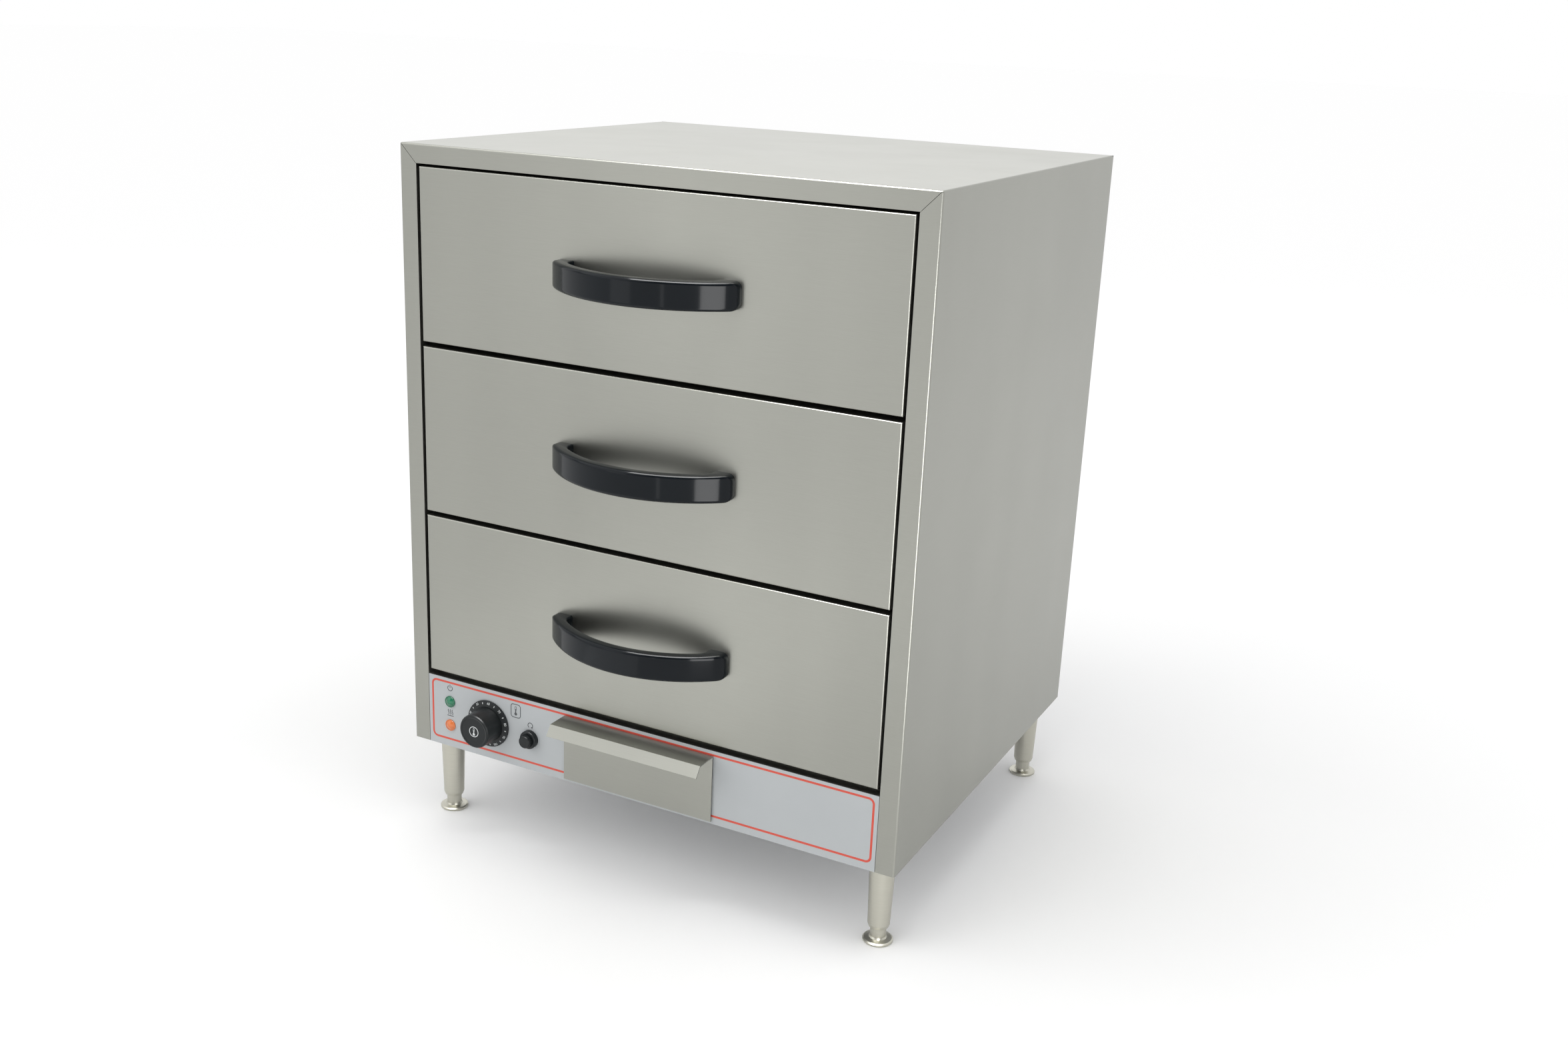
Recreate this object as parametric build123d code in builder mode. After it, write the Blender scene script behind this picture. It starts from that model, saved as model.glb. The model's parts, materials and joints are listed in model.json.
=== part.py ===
from build123d import *
import os
from math import asin, cos, sin, sqrt

# Three-drawer warmer: a folded steel cabinet on four legs, with three drawers on
# telescopic slides, a control fascia and a pull-out tray under a tubular heater.
# Millimetres. +Z is up, the drawers face -Y, and the origin is on the floor under
# the middle of the whole warmer, from the handles to the cable gland.

os.makedirs("parts", exist_ok=True)

# Cabinet shell
CABINET_WIDTH = 575.0
CABINET_DEPTH = 500.0
CABINET_HEIGHT = 643.0
LEG_HEIGHT = 93.0
SKIN = 1.0
FOLD_RADIUS = 2.0
SIDE_FLANGE = 20.0
TOP_FLANGE = 19.0
JAMB_DEPTH = 14.0
BACK_RETURN = 14.0
MITRE_GAP = 0.4
MITRE_LENGTH = 32.0
BASE_SHEET = 1.2
BASE_UPSTAND = 15.0

# Heated cavity
LINER_SHEET = 0.8
BACK_INSULATION = 17.0
BOARD_GAP = 0.2
FLOOR_CLEARANCE = 4.3
FLOOR_FLANGE = 12.0
FLOOR_SLOT_LENGTH = 60.0
FLOOR_SLOT_WIDTH = 6.0
FLOOR_SLOT_PITCH = 100.0
FLOOR_SLOT_COLUMNS = 5
FLOOR_SLOT_ROWS = 6
BOX_SLOT_COLUMNS = 4
BOX_SLOT_ROWS = 3

# Drawers
DRAWER_NAMES = ["top", "middle", "bottom"]
DRAWER_GAP = 5.0
DRAWER_TOP_GAP = 2.7
DRAWER_BOTTOM_GAP = 6.3
DRAWER_SIDE_GAP = 3.0
DRAWER_FRONT_DEPTH = 20.0
DRAWER_FOLD_RADIUS = 1.5
BOX_DEPTH = 430.0
BOX_HEIGHT = 128.0
BOX_LIFT = 14.0
BOX_RIM = 9.0
BOX_CORNER = 4.0

# Telescopic slides
SLIDE_LENGTH = 420.0
SLIDE_THICKNESS = 12.7
SLIDE_HEIGHT = 45.7
SLIDE_SHEET = 1.2
SLIDE_RACE = 3.0
SLIDE_LIP = 2.2
SLIDE_SETBACK = 2.0
INNER_MEMBER_DEPTH = 7.6
SLIDE_LIFT = 40.0
RUNNING_GAP = 0.4
CAGE_LENGTH = 150.0

# Bow handles
HANDLE_LENGTH = 204.0
HANDLE_REACH = 51.5
HANDLE_HEIGHT = 27.0
HANDLE_THICKNESS = 11.0
HANDLE_FOOT = 22.0
HANDLE_END_WALL = 6.0
HANDLE_WALL_FLAT = 0.3
HANDLE_CORNER = 8.0
HANDLE_EDGE = 2.5
HANDLE_SCREW_RADIUS = 2.5
HANDLE_SCREW_DEPTH = 11.0
SCREW_HEAD_RADIUS = 4.5
SCREW_HEAD_HEIGHT = 2.6
SCREW_HEAD_TAPER = 15.0

# Control fascia
FASCIA_HEIGHT = 80.0
FASCIA_SIDE_GAP = 0.5
OVERLAY = 0.5
LAMP_INSET = 48.8
POWER_LAMP_Z = 53.3
HEAT_LAMP_Z = 25.6
LAMP_RADIUS = 6.5
LAMP_BARREL_RADIUS = 5.0
LAMP_DOME = 3.2
LAMP_BEZEL = 1.0
LAMP_DEPTH = 24.0
KNOB_INSET = 100.5
KNOB_Z = 41.0
KNOB_SKIRT_RADIUS = 26.2
KNOB_SKIRT_HEIGHT = 3.0
KNOB_SKIRT_FALL = 1.6
KNOB_CAP_RADIUS = 18.5
KNOB_CAP_FLARE = 0.6
KNOB_CAP_EDGE = 0.8
KNOB_CAP_DISH = 0.6
KNOB_REACH = 27.0
KNOB_CLEARANCE = 0.6
SHAFT_RADIUS = 3.0
SHAFT_CLEARANCE = 0.05
SHAFT_WELL = 21.6
SHAFT_BACK = 18.0
SHAFT_REACH = 18.9
BUSH_RADIUS = 5.0
THERMOSTAT_SIZE = 42.0
THERMOSTAT_DEPTH = 36.0
THERMOSTAT_CORNER = 4.0
RESET_INSET = 154.5
RESET_Z = 36.5
RESET_COLLAR_RADIUS = 10.0
RESET_COLLAR_HEIGHT = 6.0
RESET_COLLAR_EDGE = 1.5
RESET_BUTTON_RADIUS = 6.8
RESET_BUTTON_EDGE = 1.2
RESET_REACH = 12.0
RESET_TRAVEL = 3.0
RESET_GAP = 0.3
RESET_BUSH_WALL = 1.3
RESET_BUSH_REACH = 4.2
RESET_WELL = 16.0
LIMIT_SIZE = 34.0
LIMIT_DEPTH = 30.0

# Pull-out tray
TRAY_FRONT_WIDTH = 177.0
TRAY_FRONT_BOTTOM = 3.2
TRAY_FRONT_TOP = 75.0
TRAY_SHEET = 1.0
TRAY_STANDOFF = 1.5
TRAY_LIP_REACH = 27.0
TRAY_LIP_DROP = 10.5
TRAY_LIP_LEAN = 7.5
TRAY_WIDTH = 140.0
TRAY_DEPTH = 380.0
TRAY_HEIGHT = 48.0
TRAY_BOTTOM = 7.0
TRAY_CORNER = 6.0
TRAY_RIM = 8.0
TRAY_RIM_SETBACK = 20.0
TRAY_GAP = 2.0
RAIL_SHEET = 1.2
RAIL_FOOT = 12.0
RAIL_LENGTH = 370.0

# Heater and its wiring pieces
ELEMENT_RADIUS = 4.0
ELEMENT_RUNS = 4
ELEMENT_PITCH = 76.0
ELEMENT_FRONT = 120.0
ELEMENT_BACK = 110.0
ELEMENT_DROP = 14.0
ELEMENT_PIN_RADIUS = 2.0
ELEMENT_PIN_LENGTH = 16.0
SUPPORT_SHEET = 1.5
SUPPORT_WIDTH = 16.0
SUPPORT_OVERHANG = 20.0
BULB_RADIUS = 4.0
BULB_LENGTH = 80.0
CAPILLARY_RADIUS = 1.2
CAPILLARY_LENGTH = 110.0
CLIP_WALL = 1.2
CLIP_WIDTH = 8.0
TERMINAL_LENGTH = 64.0
TERMINAL_DEPTH = 24.0
TERMINAL_HEIGHT = 20.0
TERMINAL_POLES = 5
TERMINAL_WELL_RADIUS = 3.6
TERMINAL_WELL_DEPTH = 8.0

# Cable gland in the back panel
GLAND_INSET = 97.5
GLAND_Z = 42.0
GLAND_BORE_RADIUS = 4.5
GLAND_THREAD_RADIUS = 10.0
GLAND_FLANGE_RADIUS = 13.5
GLAND_FLANGE_HEIGHT = 5.0
GLAND_CAP_RADIUS = 11.5
GLAND_CAP_EDGE = 3.0
GLAND_REACH = 22.0
GLAND_INSIDE = 9.0
GLAND_NUT_HEIGHT = 5.0

# Legs and adjustable feet
LEG_SIDE_INSET = 25.5
LEG_END_INSET = 33.0
LEG_TOP_RADIUS = 13.2
LEG_BOTTOM_RADIUS = 11.2
LEG_CHAMFER = 1.2
LEG_CHAMFER_HEIGHT = 3.5
FOOT_HEIGHT = 16.5
FOOT_FLANGE_RADIUS = 15.2
FOOT_FLANGE_HEIGHT = 3.5
FOOT_NECK_RADIUS = 8.1
FOOT_STEM_RADIUS = 5.0
FOOT_STEM_LENGTH = 36.0
FOOT_EDGE = 1.0
FOOT_FLANGE_DISH = 1.4
FOOT_NECK_RISE = 1.8
LEG_BORE_SPARE = 4.0
STUD_RADIUS = 5.0
NUT_RADIUS = 8.5
LEG_PLATE = 36.0
LEG_PLATE_THICKNESS = 3.0
NUT_HEIGHT = 7.0

# Back panel screws
PANEL_SCREW_RADIUS = 2.0
PANEL_SCREW_LENGTH = 8.0
PANEL_HEAD_RADIUS = 4.0
PANEL_HEAD_HEIGHT = 2.2
PANEL_HEAD_TAPER = 20.0
PANEL_SCREW_SHARES = (0.08, 0.5, 0.92)
VENT_LENGTH = 44.0
VENT_WIDTH = 4.0
VENT_PITCH = 12.0
VENT_ROWS = 4
VENT_SPREAD = 150.0

# Places worked out from the sizes
front_y = (HANDLE_REACH - GLAND_REACH - CABINET_DEPTH) / 2
back_y = front_y + CABINET_DEPTH
middle_y = (front_y + back_y) / 2
base_z = LEG_HEIGHT
top_z = base_z + CABINET_HEIGHT
opening_width = CABINET_WIDTH - 2 * SIDE_FLANGE
opening_top = top_z - TOP_FLANGE
fascia_top = base_z + FASCIA_HEIGHT
skin_inside = CABINET_WIDTH / 2 - SKIN
liner_inside = opening_width / 2 + SKIN
liner_outside = liner_inside + LINER_SHEET
liner_top_z = opening_top + SKIN
liner_back_y = back_y - 2 * SKIN - BACK_INSULATION - LINER_SHEET
drawers_bottom = fascia_top + DRAWER_BOTTOM_GAP
drawers_top = opening_top - DRAWER_TOP_GAP
drawer_count = len(DRAWER_NAMES)
drawer_height = (drawers_top - drawers_bottom - DRAWER_GAP * (drawer_count - 1)) / drawer_count
drawer_width = opening_width - 2 * DRAWER_SIDE_GAP
floor_z = drawers_bottom - FLOOR_CLEARANCE
box_width = 2 * (liner_inside - SLIDE_THICKNESS)
box_front_y = front_y + DRAWER_FRONT_DEPTH
slide_y = box_front_y + SLIDE_SETBACK
fascia_y = front_y + OVERLAY
fascia_back = fascia_y + SKIN
leg_x = CABINET_WIDTH / 2 - LEG_SIDE_INSET
leg_y = CABINET_DEPTH / 2 - LEG_END_INSET
lamp_x = LAMP_INSET - CABINET_WIDTH / 2
knob_x = KNOB_INSET - CABINET_WIDTH / 2
reset_x = RESET_INSET - CABINET_WIDTH / 2
gland_x = CABINET_WIDTH / 2 - GLAND_INSET


def front_plane(y):
    """A plane at the given y whose sketches read as seen from the front: (x, z)."""
    return Plane.XZ.offset(-y)


def save(builder, name):
    builder.part.label = name
    export_step(builder.part, f"parts/{name}.step")


def drawer_bottom(index):
    """Height of the lower edge of a drawer front, counted from the top drawer down."""
    return drawers_top - drawer_height - index * (drawer_height + DRAWER_GAP)


# Outer wrap: sides and top folded from one sheet, with front flanges mitred at the corners
with BuildPart() as outer_wrap:
    with BuildSketch(Plane.XY.offset(base_z)):
        with Locations((0, middle_y - SKIN / 2)):
            Rectangle(CABINET_WIDTH, CABINET_DEPTH - SKIN)
    extrude(amount=CABINET_HEIGHT)
    front_edges = faces().sort_by(Axis.Y)[0].edges().sort_by(Axis.Z)[1:]
    top_edges = faces().sort_by(Axis.Z)[-1].edges().filter_by(Axis.Y)
    fillet(front_edges + top_edges, FOLD_RADIUS)
    open_faces = [faces().sort_by(Axis.Z)[0], faces().sort_by(Axis.Y)[-1]]
    offset(amount=-SKIN, openings=open_faces)
    with BuildSketch(front_plane(front_y)):
        with Locations((0, base_z)):
            Rectangle(opening_width, opening_top - base_z, align=(Align.CENTER, Align.MIN))
    extrude(amount=-SKIN, mode=Mode.SUBTRACT)
    with BuildSketch(front_plane(front_y + SKIN)):
        with Locations((0, base_z)):
            Rectangle(2 * liner_inside, liner_top_z - base_z, align=(Align.CENTER, Align.MIN))
            Rectangle(
                opening_width,
                opening_top - base_z,
                align=(Align.CENTER, Align.MIN),
                mode=Mode.SUBTRACT,
            )
    extrude(amount=SKIN - JAMB_DEPTH)
    with BuildSketch(front_plane(back_y - 2 * SKIN)):
        with Locations((0, base_z + BASE_UPSTAND)):
            Rectangle(
                2 * skin_inside,
                CABINET_HEIGHT - BASE_UPSTAND - SKIN,
                align=(Align.CENTER, Align.MIN),
            )
            Rectangle(
                2 * (skin_inside - BACK_RETURN),
                CABINET_HEIGHT - BASE_UPSTAND - SKIN - BACK_RETURN,
                align=(Align.CENTER, Align.MIN),
                mode=Mode.SUBTRACT,
            )
    extrude(amount=-SKIN)
    for side in (-1, 1):
        mitre_x = side * (CABINET_WIDTH - SIDE_FLANGE) / 2
        with Locations(Location((mitre_x, front_y, top_z - TOP_FLANGE / 2), (0, side * 45, 0))):
            Box(MITRE_GAP, 2 * SKIN, MITRE_LENGTH, mode=Mode.SUBTRACT)
    screw_spots = []
    for side in (-1, 1):
        for share in PANEL_SCREW_SHARES:
            spot_x = side * (skin_inside - BACK_RETURN / 2)
            screw_spots.append((spot_x, base_z + BASE_UPSTAND + share * (CABINET_HEIGHT - BASE_UPSTAND)))
    screw_spots.append((0, top_z - SKIN - BACK_RETURN / 2))
    with BuildSketch(front_plane(back_y - 2 * SKIN)):
        with Locations(*screw_spots):
            Circle(PANEL_SCREW_RADIUS)
    extrude(amount=-SKIN, mode=Mode.SUBTRACT)
save(outer_wrap, "outer_wrap")

# Base pan: floor sheet with upturned sides and back, drilled for the leg studs
leg_spots = [
    (x, middle_y + y) for x in (-leg_x, leg_x) for y in (-leg_y, leg_y)
]
leg_names = ["front_left", "back_left", "front_right", "back_right"]
base_front = front_y + JAMB_DEPTH
base_back = back_y - SKIN
with BuildPart() as base_pan:
    with BuildSketch(Plane.XY.offset(base_z)):
        with Locations((0, base_front)):
            Rectangle(2 * skin_inside, base_back - base_front, align=(Align.CENTER, Align.MIN))
    extrude(amount=BASE_UPSTAND)
    open_faces = [faces().sort_by(Axis.Z)[-1], faces().sort_by(Axis.Y)[0]]
    offset(amount=-BASE_SHEET, openings=open_faces)
    with BuildSketch(Plane.XY.offset(base_z)):
        with Locations(*leg_spots):
            Circle(STUD_RADIUS)
        with Locations((0, middle_y)):
            with GridLocations(VENT_SPREAD, VENT_PITCH, 2, VENT_ROWS):
                SlotOverall(VENT_LENGTH, VENT_WIDTH)
    extrude(amount=BASE_SHEET, mode=Mode.SUBTRACT)
save(base_pan, "base_pan")

# Leg plates: a square plate and a nut over each stud, welded to the base pan
with BuildPart() as leg_plates:
    with BuildSketch(Plane.XY.offset(base_z + BASE_SHEET)):
        with Locations(*leg_spots):
            Rectangle(LEG_PLATE, LEG_PLATE)
    extrude(amount=LEG_PLATE_THICKNESS)
    with BuildSketch(Plane.XY.offset(base_z + BASE_SHEET + LEG_PLATE_THICKNESS)):
        with Locations(*leg_spots):
            RegularPolygon(NUT_RADIUS, 6)
    extrude(amount=NUT_HEIGHT)
    with BuildSketch(Plane.XY.offset(base_z + BASE_SHEET)):
        with Locations(*leg_spots):
            Circle(STUD_RADIUS)
    extrude(amount=LEG_PLATE_THICKNESS + NUT_HEIGHT, mode=Mode.SUBTRACT)
save(leg_plates, "leg_plates")

# Legs: tapered tubes with a threaded stud on top and a threaded bore for the foot
leg_bore_radius = FOOT_STEM_RADIUS + SHAFT_CLEARANCE
leg_bore_top = FOOT_HEIGHT + FOOT_STEM_LENGTH + LEG_BORE_SPARE
stud_top = base_z + BASE_SHEET + LEG_PLATE_THICKNESS + NUT_HEIGHT
for name, (x, y) in zip(leg_names, leg_spots):
    with BuildPart() as leg:
        with BuildSketch(Plane.XZ.offset(-y)):
            with BuildLine():
                Polyline(
                    (x + leg_bore_radius, FOOT_HEIGHT),
                    (x + LEG_BOTTOM_RADIUS - LEG_CHAMFER, FOOT_HEIGHT),
                    (x + LEG_BOTTOM_RADIUS, FOOT_HEIGHT + LEG_CHAMFER_HEIGHT),
                    (x + LEG_TOP_RADIUS, base_z),
                    (x + STUD_RADIUS, base_z),
                    (x + STUD_RADIUS, stud_top),
                    (x, stud_top),
                    (x, leg_bore_top),
                    (x + leg_bore_radius, leg_bore_top),
                    close=True,
                )
            make_face()
        revolve(axis=Axis((x, y, 0), (0, 0, 1)))
    save(leg, f"leg_{name}")

    # Foot: a flanged neck on a threaded stem that turns in the leg
    with BuildPart() as foot:
        with BuildSketch(Plane.XZ.offset(-y)):
            with BuildLine():
                Polyline(
                    (x, 0),
                    (x + FOOT_FLANGE_RADIUS - FOOT_EDGE, 0),
                    (x + FOOT_FLANGE_RADIUS, FOOT_EDGE),
                    (x + FOOT_FLANGE_RADIUS, FOOT_FLANGE_HEIGHT - FOOT_EDGE),
                    (x + FOOT_FLANGE_RADIUS - FOOT_FLANGE_DISH, FOOT_FLANGE_HEIGHT),
                    (x + FOOT_NECK_RADIUS + FOOT_EDGE, FOOT_FLANGE_HEIGHT + FOOT_EDGE),
                    (x + FOOT_NECK_RADIUS, FOOT_FLANGE_HEIGHT + FOOT_EDGE + FOOT_NECK_RISE),
                    (x + FOOT_NECK_RADIUS, FOOT_HEIGHT - RUNNING_GAP),
                    (x + FOOT_STEM_RADIUS, FOOT_HEIGHT - RUNNING_GAP),
                    (x + FOOT_STEM_RADIUS, FOOT_HEIGHT + FOOT_STEM_LENGTH),
                    (x, FOOT_HEIGHT + FOOT_STEM_LENGTH),
                    close=True,
                )
            make_face()
        revolve(axis=Axis((x, y, 0), (0, 0, 1)))
    save(foot, f"foot_{name}")

# Back panel: flat sheet with a row of vent slots at the heater and a hole for the gland
with BuildPart() as back_panel:
    with BuildSketch(front_plane(back_y - SKIN)):
        with Locations((0, base_z)):
            Rectangle(CABINET_WIDTH, CABINET_HEIGHT, align=(Align.CENTER, Align.MIN))
        with Locations((gland_x, base_z + GLAND_Z)):
            Circle(GLAND_THREAD_RADIUS, mode=Mode.SUBTRACT)
        with Locations(*screw_spots):
            Circle(PANEL_SCREW_RADIUS, mode=Mode.SUBTRACT)
        with Locations((-gland_x, base_z + GLAND_Z)):
            with GridLocations(VENT_SPREAD, VENT_PITCH, 1, VENT_ROWS):
                SlotOverall(VENT_LENGTH, VENT_WIDTH, mode=Mode.SUBTRACT)
    extrude(amount=-SKIN)
save(back_panel, "back_panel")

with BuildPart() as back_panel_screws:
    with BuildSketch(front_plane(back_y - PANEL_SCREW_LENGTH)):
        with Locations(*screw_spots):
            Circle(PANEL_SCREW_RADIUS)
    extrude(amount=-PANEL_SCREW_LENGTH)
    with BuildSketch(front_plane(back_y)):
        with Locations(*screw_spots):
            Circle(PANEL_HEAD_RADIUS)
    extrude(amount=-PANEL_HEAD_HEIGHT, taper=PANEL_HEAD_TAPER)
save(back_panel_screws, "back_panel_screws")

# Liner: the inner skin of the heated cavity, spot-welded to the jambs of the wrap
liner_bottom = floor_z - FLOOR_FLANGE
for name, side in (("left", -1), ("right", 1)):
    with BuildPart() as liner_side:
        with BuildSketch(Plane.YZ.offset(side * liner_inside)):
            with Locations((front_y + 2 * SKIN, liner_bottom)):
                Rectangle(
                    liner_back_y - front_y - 2 * SKIN,
                    liner_top_z + LINER_SHEET - liner_bottom,
                    align=(Align.MIN, Align.MIN),
                )
        extrude(amount=side * LINER_SHEET)
    save(liner_side, f"liner_{name}")

with BuildPart() as liner_top:
    with BuildSketch(Plane.XY.offset(liner_top_z)):
        with Locations((0, front_y + 2 * SKIN)):
            Rectangle(2 * liner_inside, liner_back_y - front_y - 2 * SKIN, align=(Align.CENTER, Align.MIN))
    extrude(amount=LINER_SHEET)
save(liner_top, "liner_top")

with BuildPart() as liner_back:
    with BuildSketch(front_plane(liner_back_y)):
        with Locations((0, floor_z)):
            Rectangle(
                2 * liner_outside,
                liner_top_z + LINER_SHEET - floor_z,
                align=(Align.CENTER, Align.MIN),
            )
    extrude(amount=-LINER_SHEET)
save(liner_back, "liner_back")

# Cavity floor: slotted so that warm air rises from the heater under it
floor_front = front_y + JAMB_DEPTH + 2
with BuildPart() as cavity_floor:
    with BuildSketch(Plane.XY.offset(floor_z - FLOOR_FLANGE)):
        with Locations((0, floor_front)):
            Rectangle(2 * liner_inside, liner_back_y - floor_front, align=(Align.CENTER, Align.MIN))
    extrude(amount=FLOOR_FLANGE)
    open_faces = [faces().sort_by(Axis.Z)[0], faces().sort_by(Axis.Y)[0], faces().sort_by(Axis.Y)[-1]]
    offset(amount=-LINER_SHEET, openings=open_faces)
    with BuildSketch(Plane.XY.offset(floor_z)):
        with Locations((0, middle_y)):
            with GridLocations(FLOOR_SLOT_PITCH, FLOOR_SLOT_LENGTH, FLOOR_SLOT_COLUMNS, FLOOR_SLOT_ROWS):
                SlotOverall(FLOOR_SLOT_LENGTH, FLOOR_SLOT_WIDTH)
    extrude(amount=-LINER_SHEET, mode=Mode.SUBTRACT)
save(cavity_floor, "cavity_floor")

# Insulation boards between the skins: two sides, back and top
board_front = front_y + JAMB_DEPTH
board_back = back_y - 2 * SKIN
board_top = liner_top_z + LINER_SHEET
with BuildPart() as insulation_boards:
    with BuildSketch(Plane.XY.offset(floor_z)):
        for side in (-1, 1):
            with Locations((side * (liner_outside + skin_inside) / 2, (board_front + board_back) / 2)):
                Rectangle(skin_inside - liner_outside, board_back - board_front)
    extrude(amount=board_top - floor_z)
    with BuildSketch(Plane.XY.offset(floor_z)):
        with Locations((0, liner_back_y + LINER_SHEET)):
            Rectangle(
                2 * (liner_outside - BOARD_GAP),
                board_back - liner_back_y - LINER_SHEET,
                align=(Align.CENTER, Align.MIN),
            )
    extrude(amount=board_top - floor_z)
    with BuildSketch(Plane.XY.offset(board_top + BOARD_GAP)):
        with Locations((0, (board_front + board_back) / 2)):
            Rectangle(2 * (skin_inside - FOLD_RADIUS), board_back - board_front)
    extrude(amount=top_z - SKIN - board_top - BOARD_GAP)
    with BuildSketch(front_plane(back_y)):
        with Locations(*screw_spots):
            Circle(PANEL_SCREW_RADIUS)
    extrude(amount=PANEL_SCREW_LENGTH, mode=Mode.SUBTRACT)
save(insulation_boards, "insulation_boards")

# Slide sections: each is a channel drawn on its own side of the cabinet, nested in the next
outer_depth = SLIDE_THICKNESS - SLIDE_SHEET
mid_height = SLIDE_HEIGHT - 2 * (SLIDE_SHEET + SLIDE_RACE)
inner_height = mid_height - 2 * (SLIDE_SHEET + SLIDE_RACE)
mid_wall = liner_inside - 2 * SLIDE_SHEET
cage_thickness = SLIDE_RACE - RUNNING_GAP


def channel(side, wall, depth, height, z):
    """Lipped channel: web on the cabinet side at x = wall, open towards the drawer."""
    with Locations((side * (wall - depth / 2), z)):
        Rectangle(depth, height)
    with Locations((side * (wall - SLIDE_SHEET - depth / 2), z)):
        Rectangle(depth, height - 2 * SLIDE_SHEET, mode=Mode.SUBTRACT)
    for end in (-1, 1):
        lip_z = z + end * (height / 2 - (SLIDE_SHEET + SLIDE_LIP) / 2)
        with Locations((side * (wall - depth + SLIDE_SHEET / 2), lip_z)):
            Rectangle(SLIDE_SHEET, SLIDE_SHEET + SLIDE_LIP)


def slide_height(index):
    """Middle height of the slides of one drawer."""
    return drawer_bottom(index) + BOX_LIFT + SLIDE_LIFT


with BuildPart() as slide_outer_members:
    with BuildSketch(front_plane(slide_y)):
        for index in range(drawer_count):
            for side in (-1, 1):
                channel(side, liner_inside, outer_depth, SLIDE_HEIGHT, slide_height(index))
    extrude(amount=-SLIDE_LENGTH)
save(slide_outer_members, "slide_outer_members")

# Bow handle outline in plan: an arc between two feet, thickness kept along the arc. The end
# corners have the radius that leaves the named flat on each end wall.
bow_rise = HANDLE_REACH - HANDLE_END_WALL
bow_radius = ((HANDLE_LENGTH / 2) ** 2 + bow_rise**2) / (2 * bow_rise)
bow_centre = HANDLE_REACH - bow_radius
grip_half = HANDLE_LENGTH / 2 - HANDLE_FOOT
grip_wall = bow_centre + sqrt((bow_radius - HANDLE_THICKNESS) ** 2 - grip_half**2)
screw_x = HANDLE_LENGTH / 2 - HANDLE_FOOT / 2
wall_flat = (HANDLE_WALL_FLAT - bow_centre) ** 2
plan_radius = (bow_radius**2 - (HANDLE_LENGTH / 2) ** 2 - wall_flat) / (2 * bow_radius - HANDLE_LENGTH)

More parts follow.
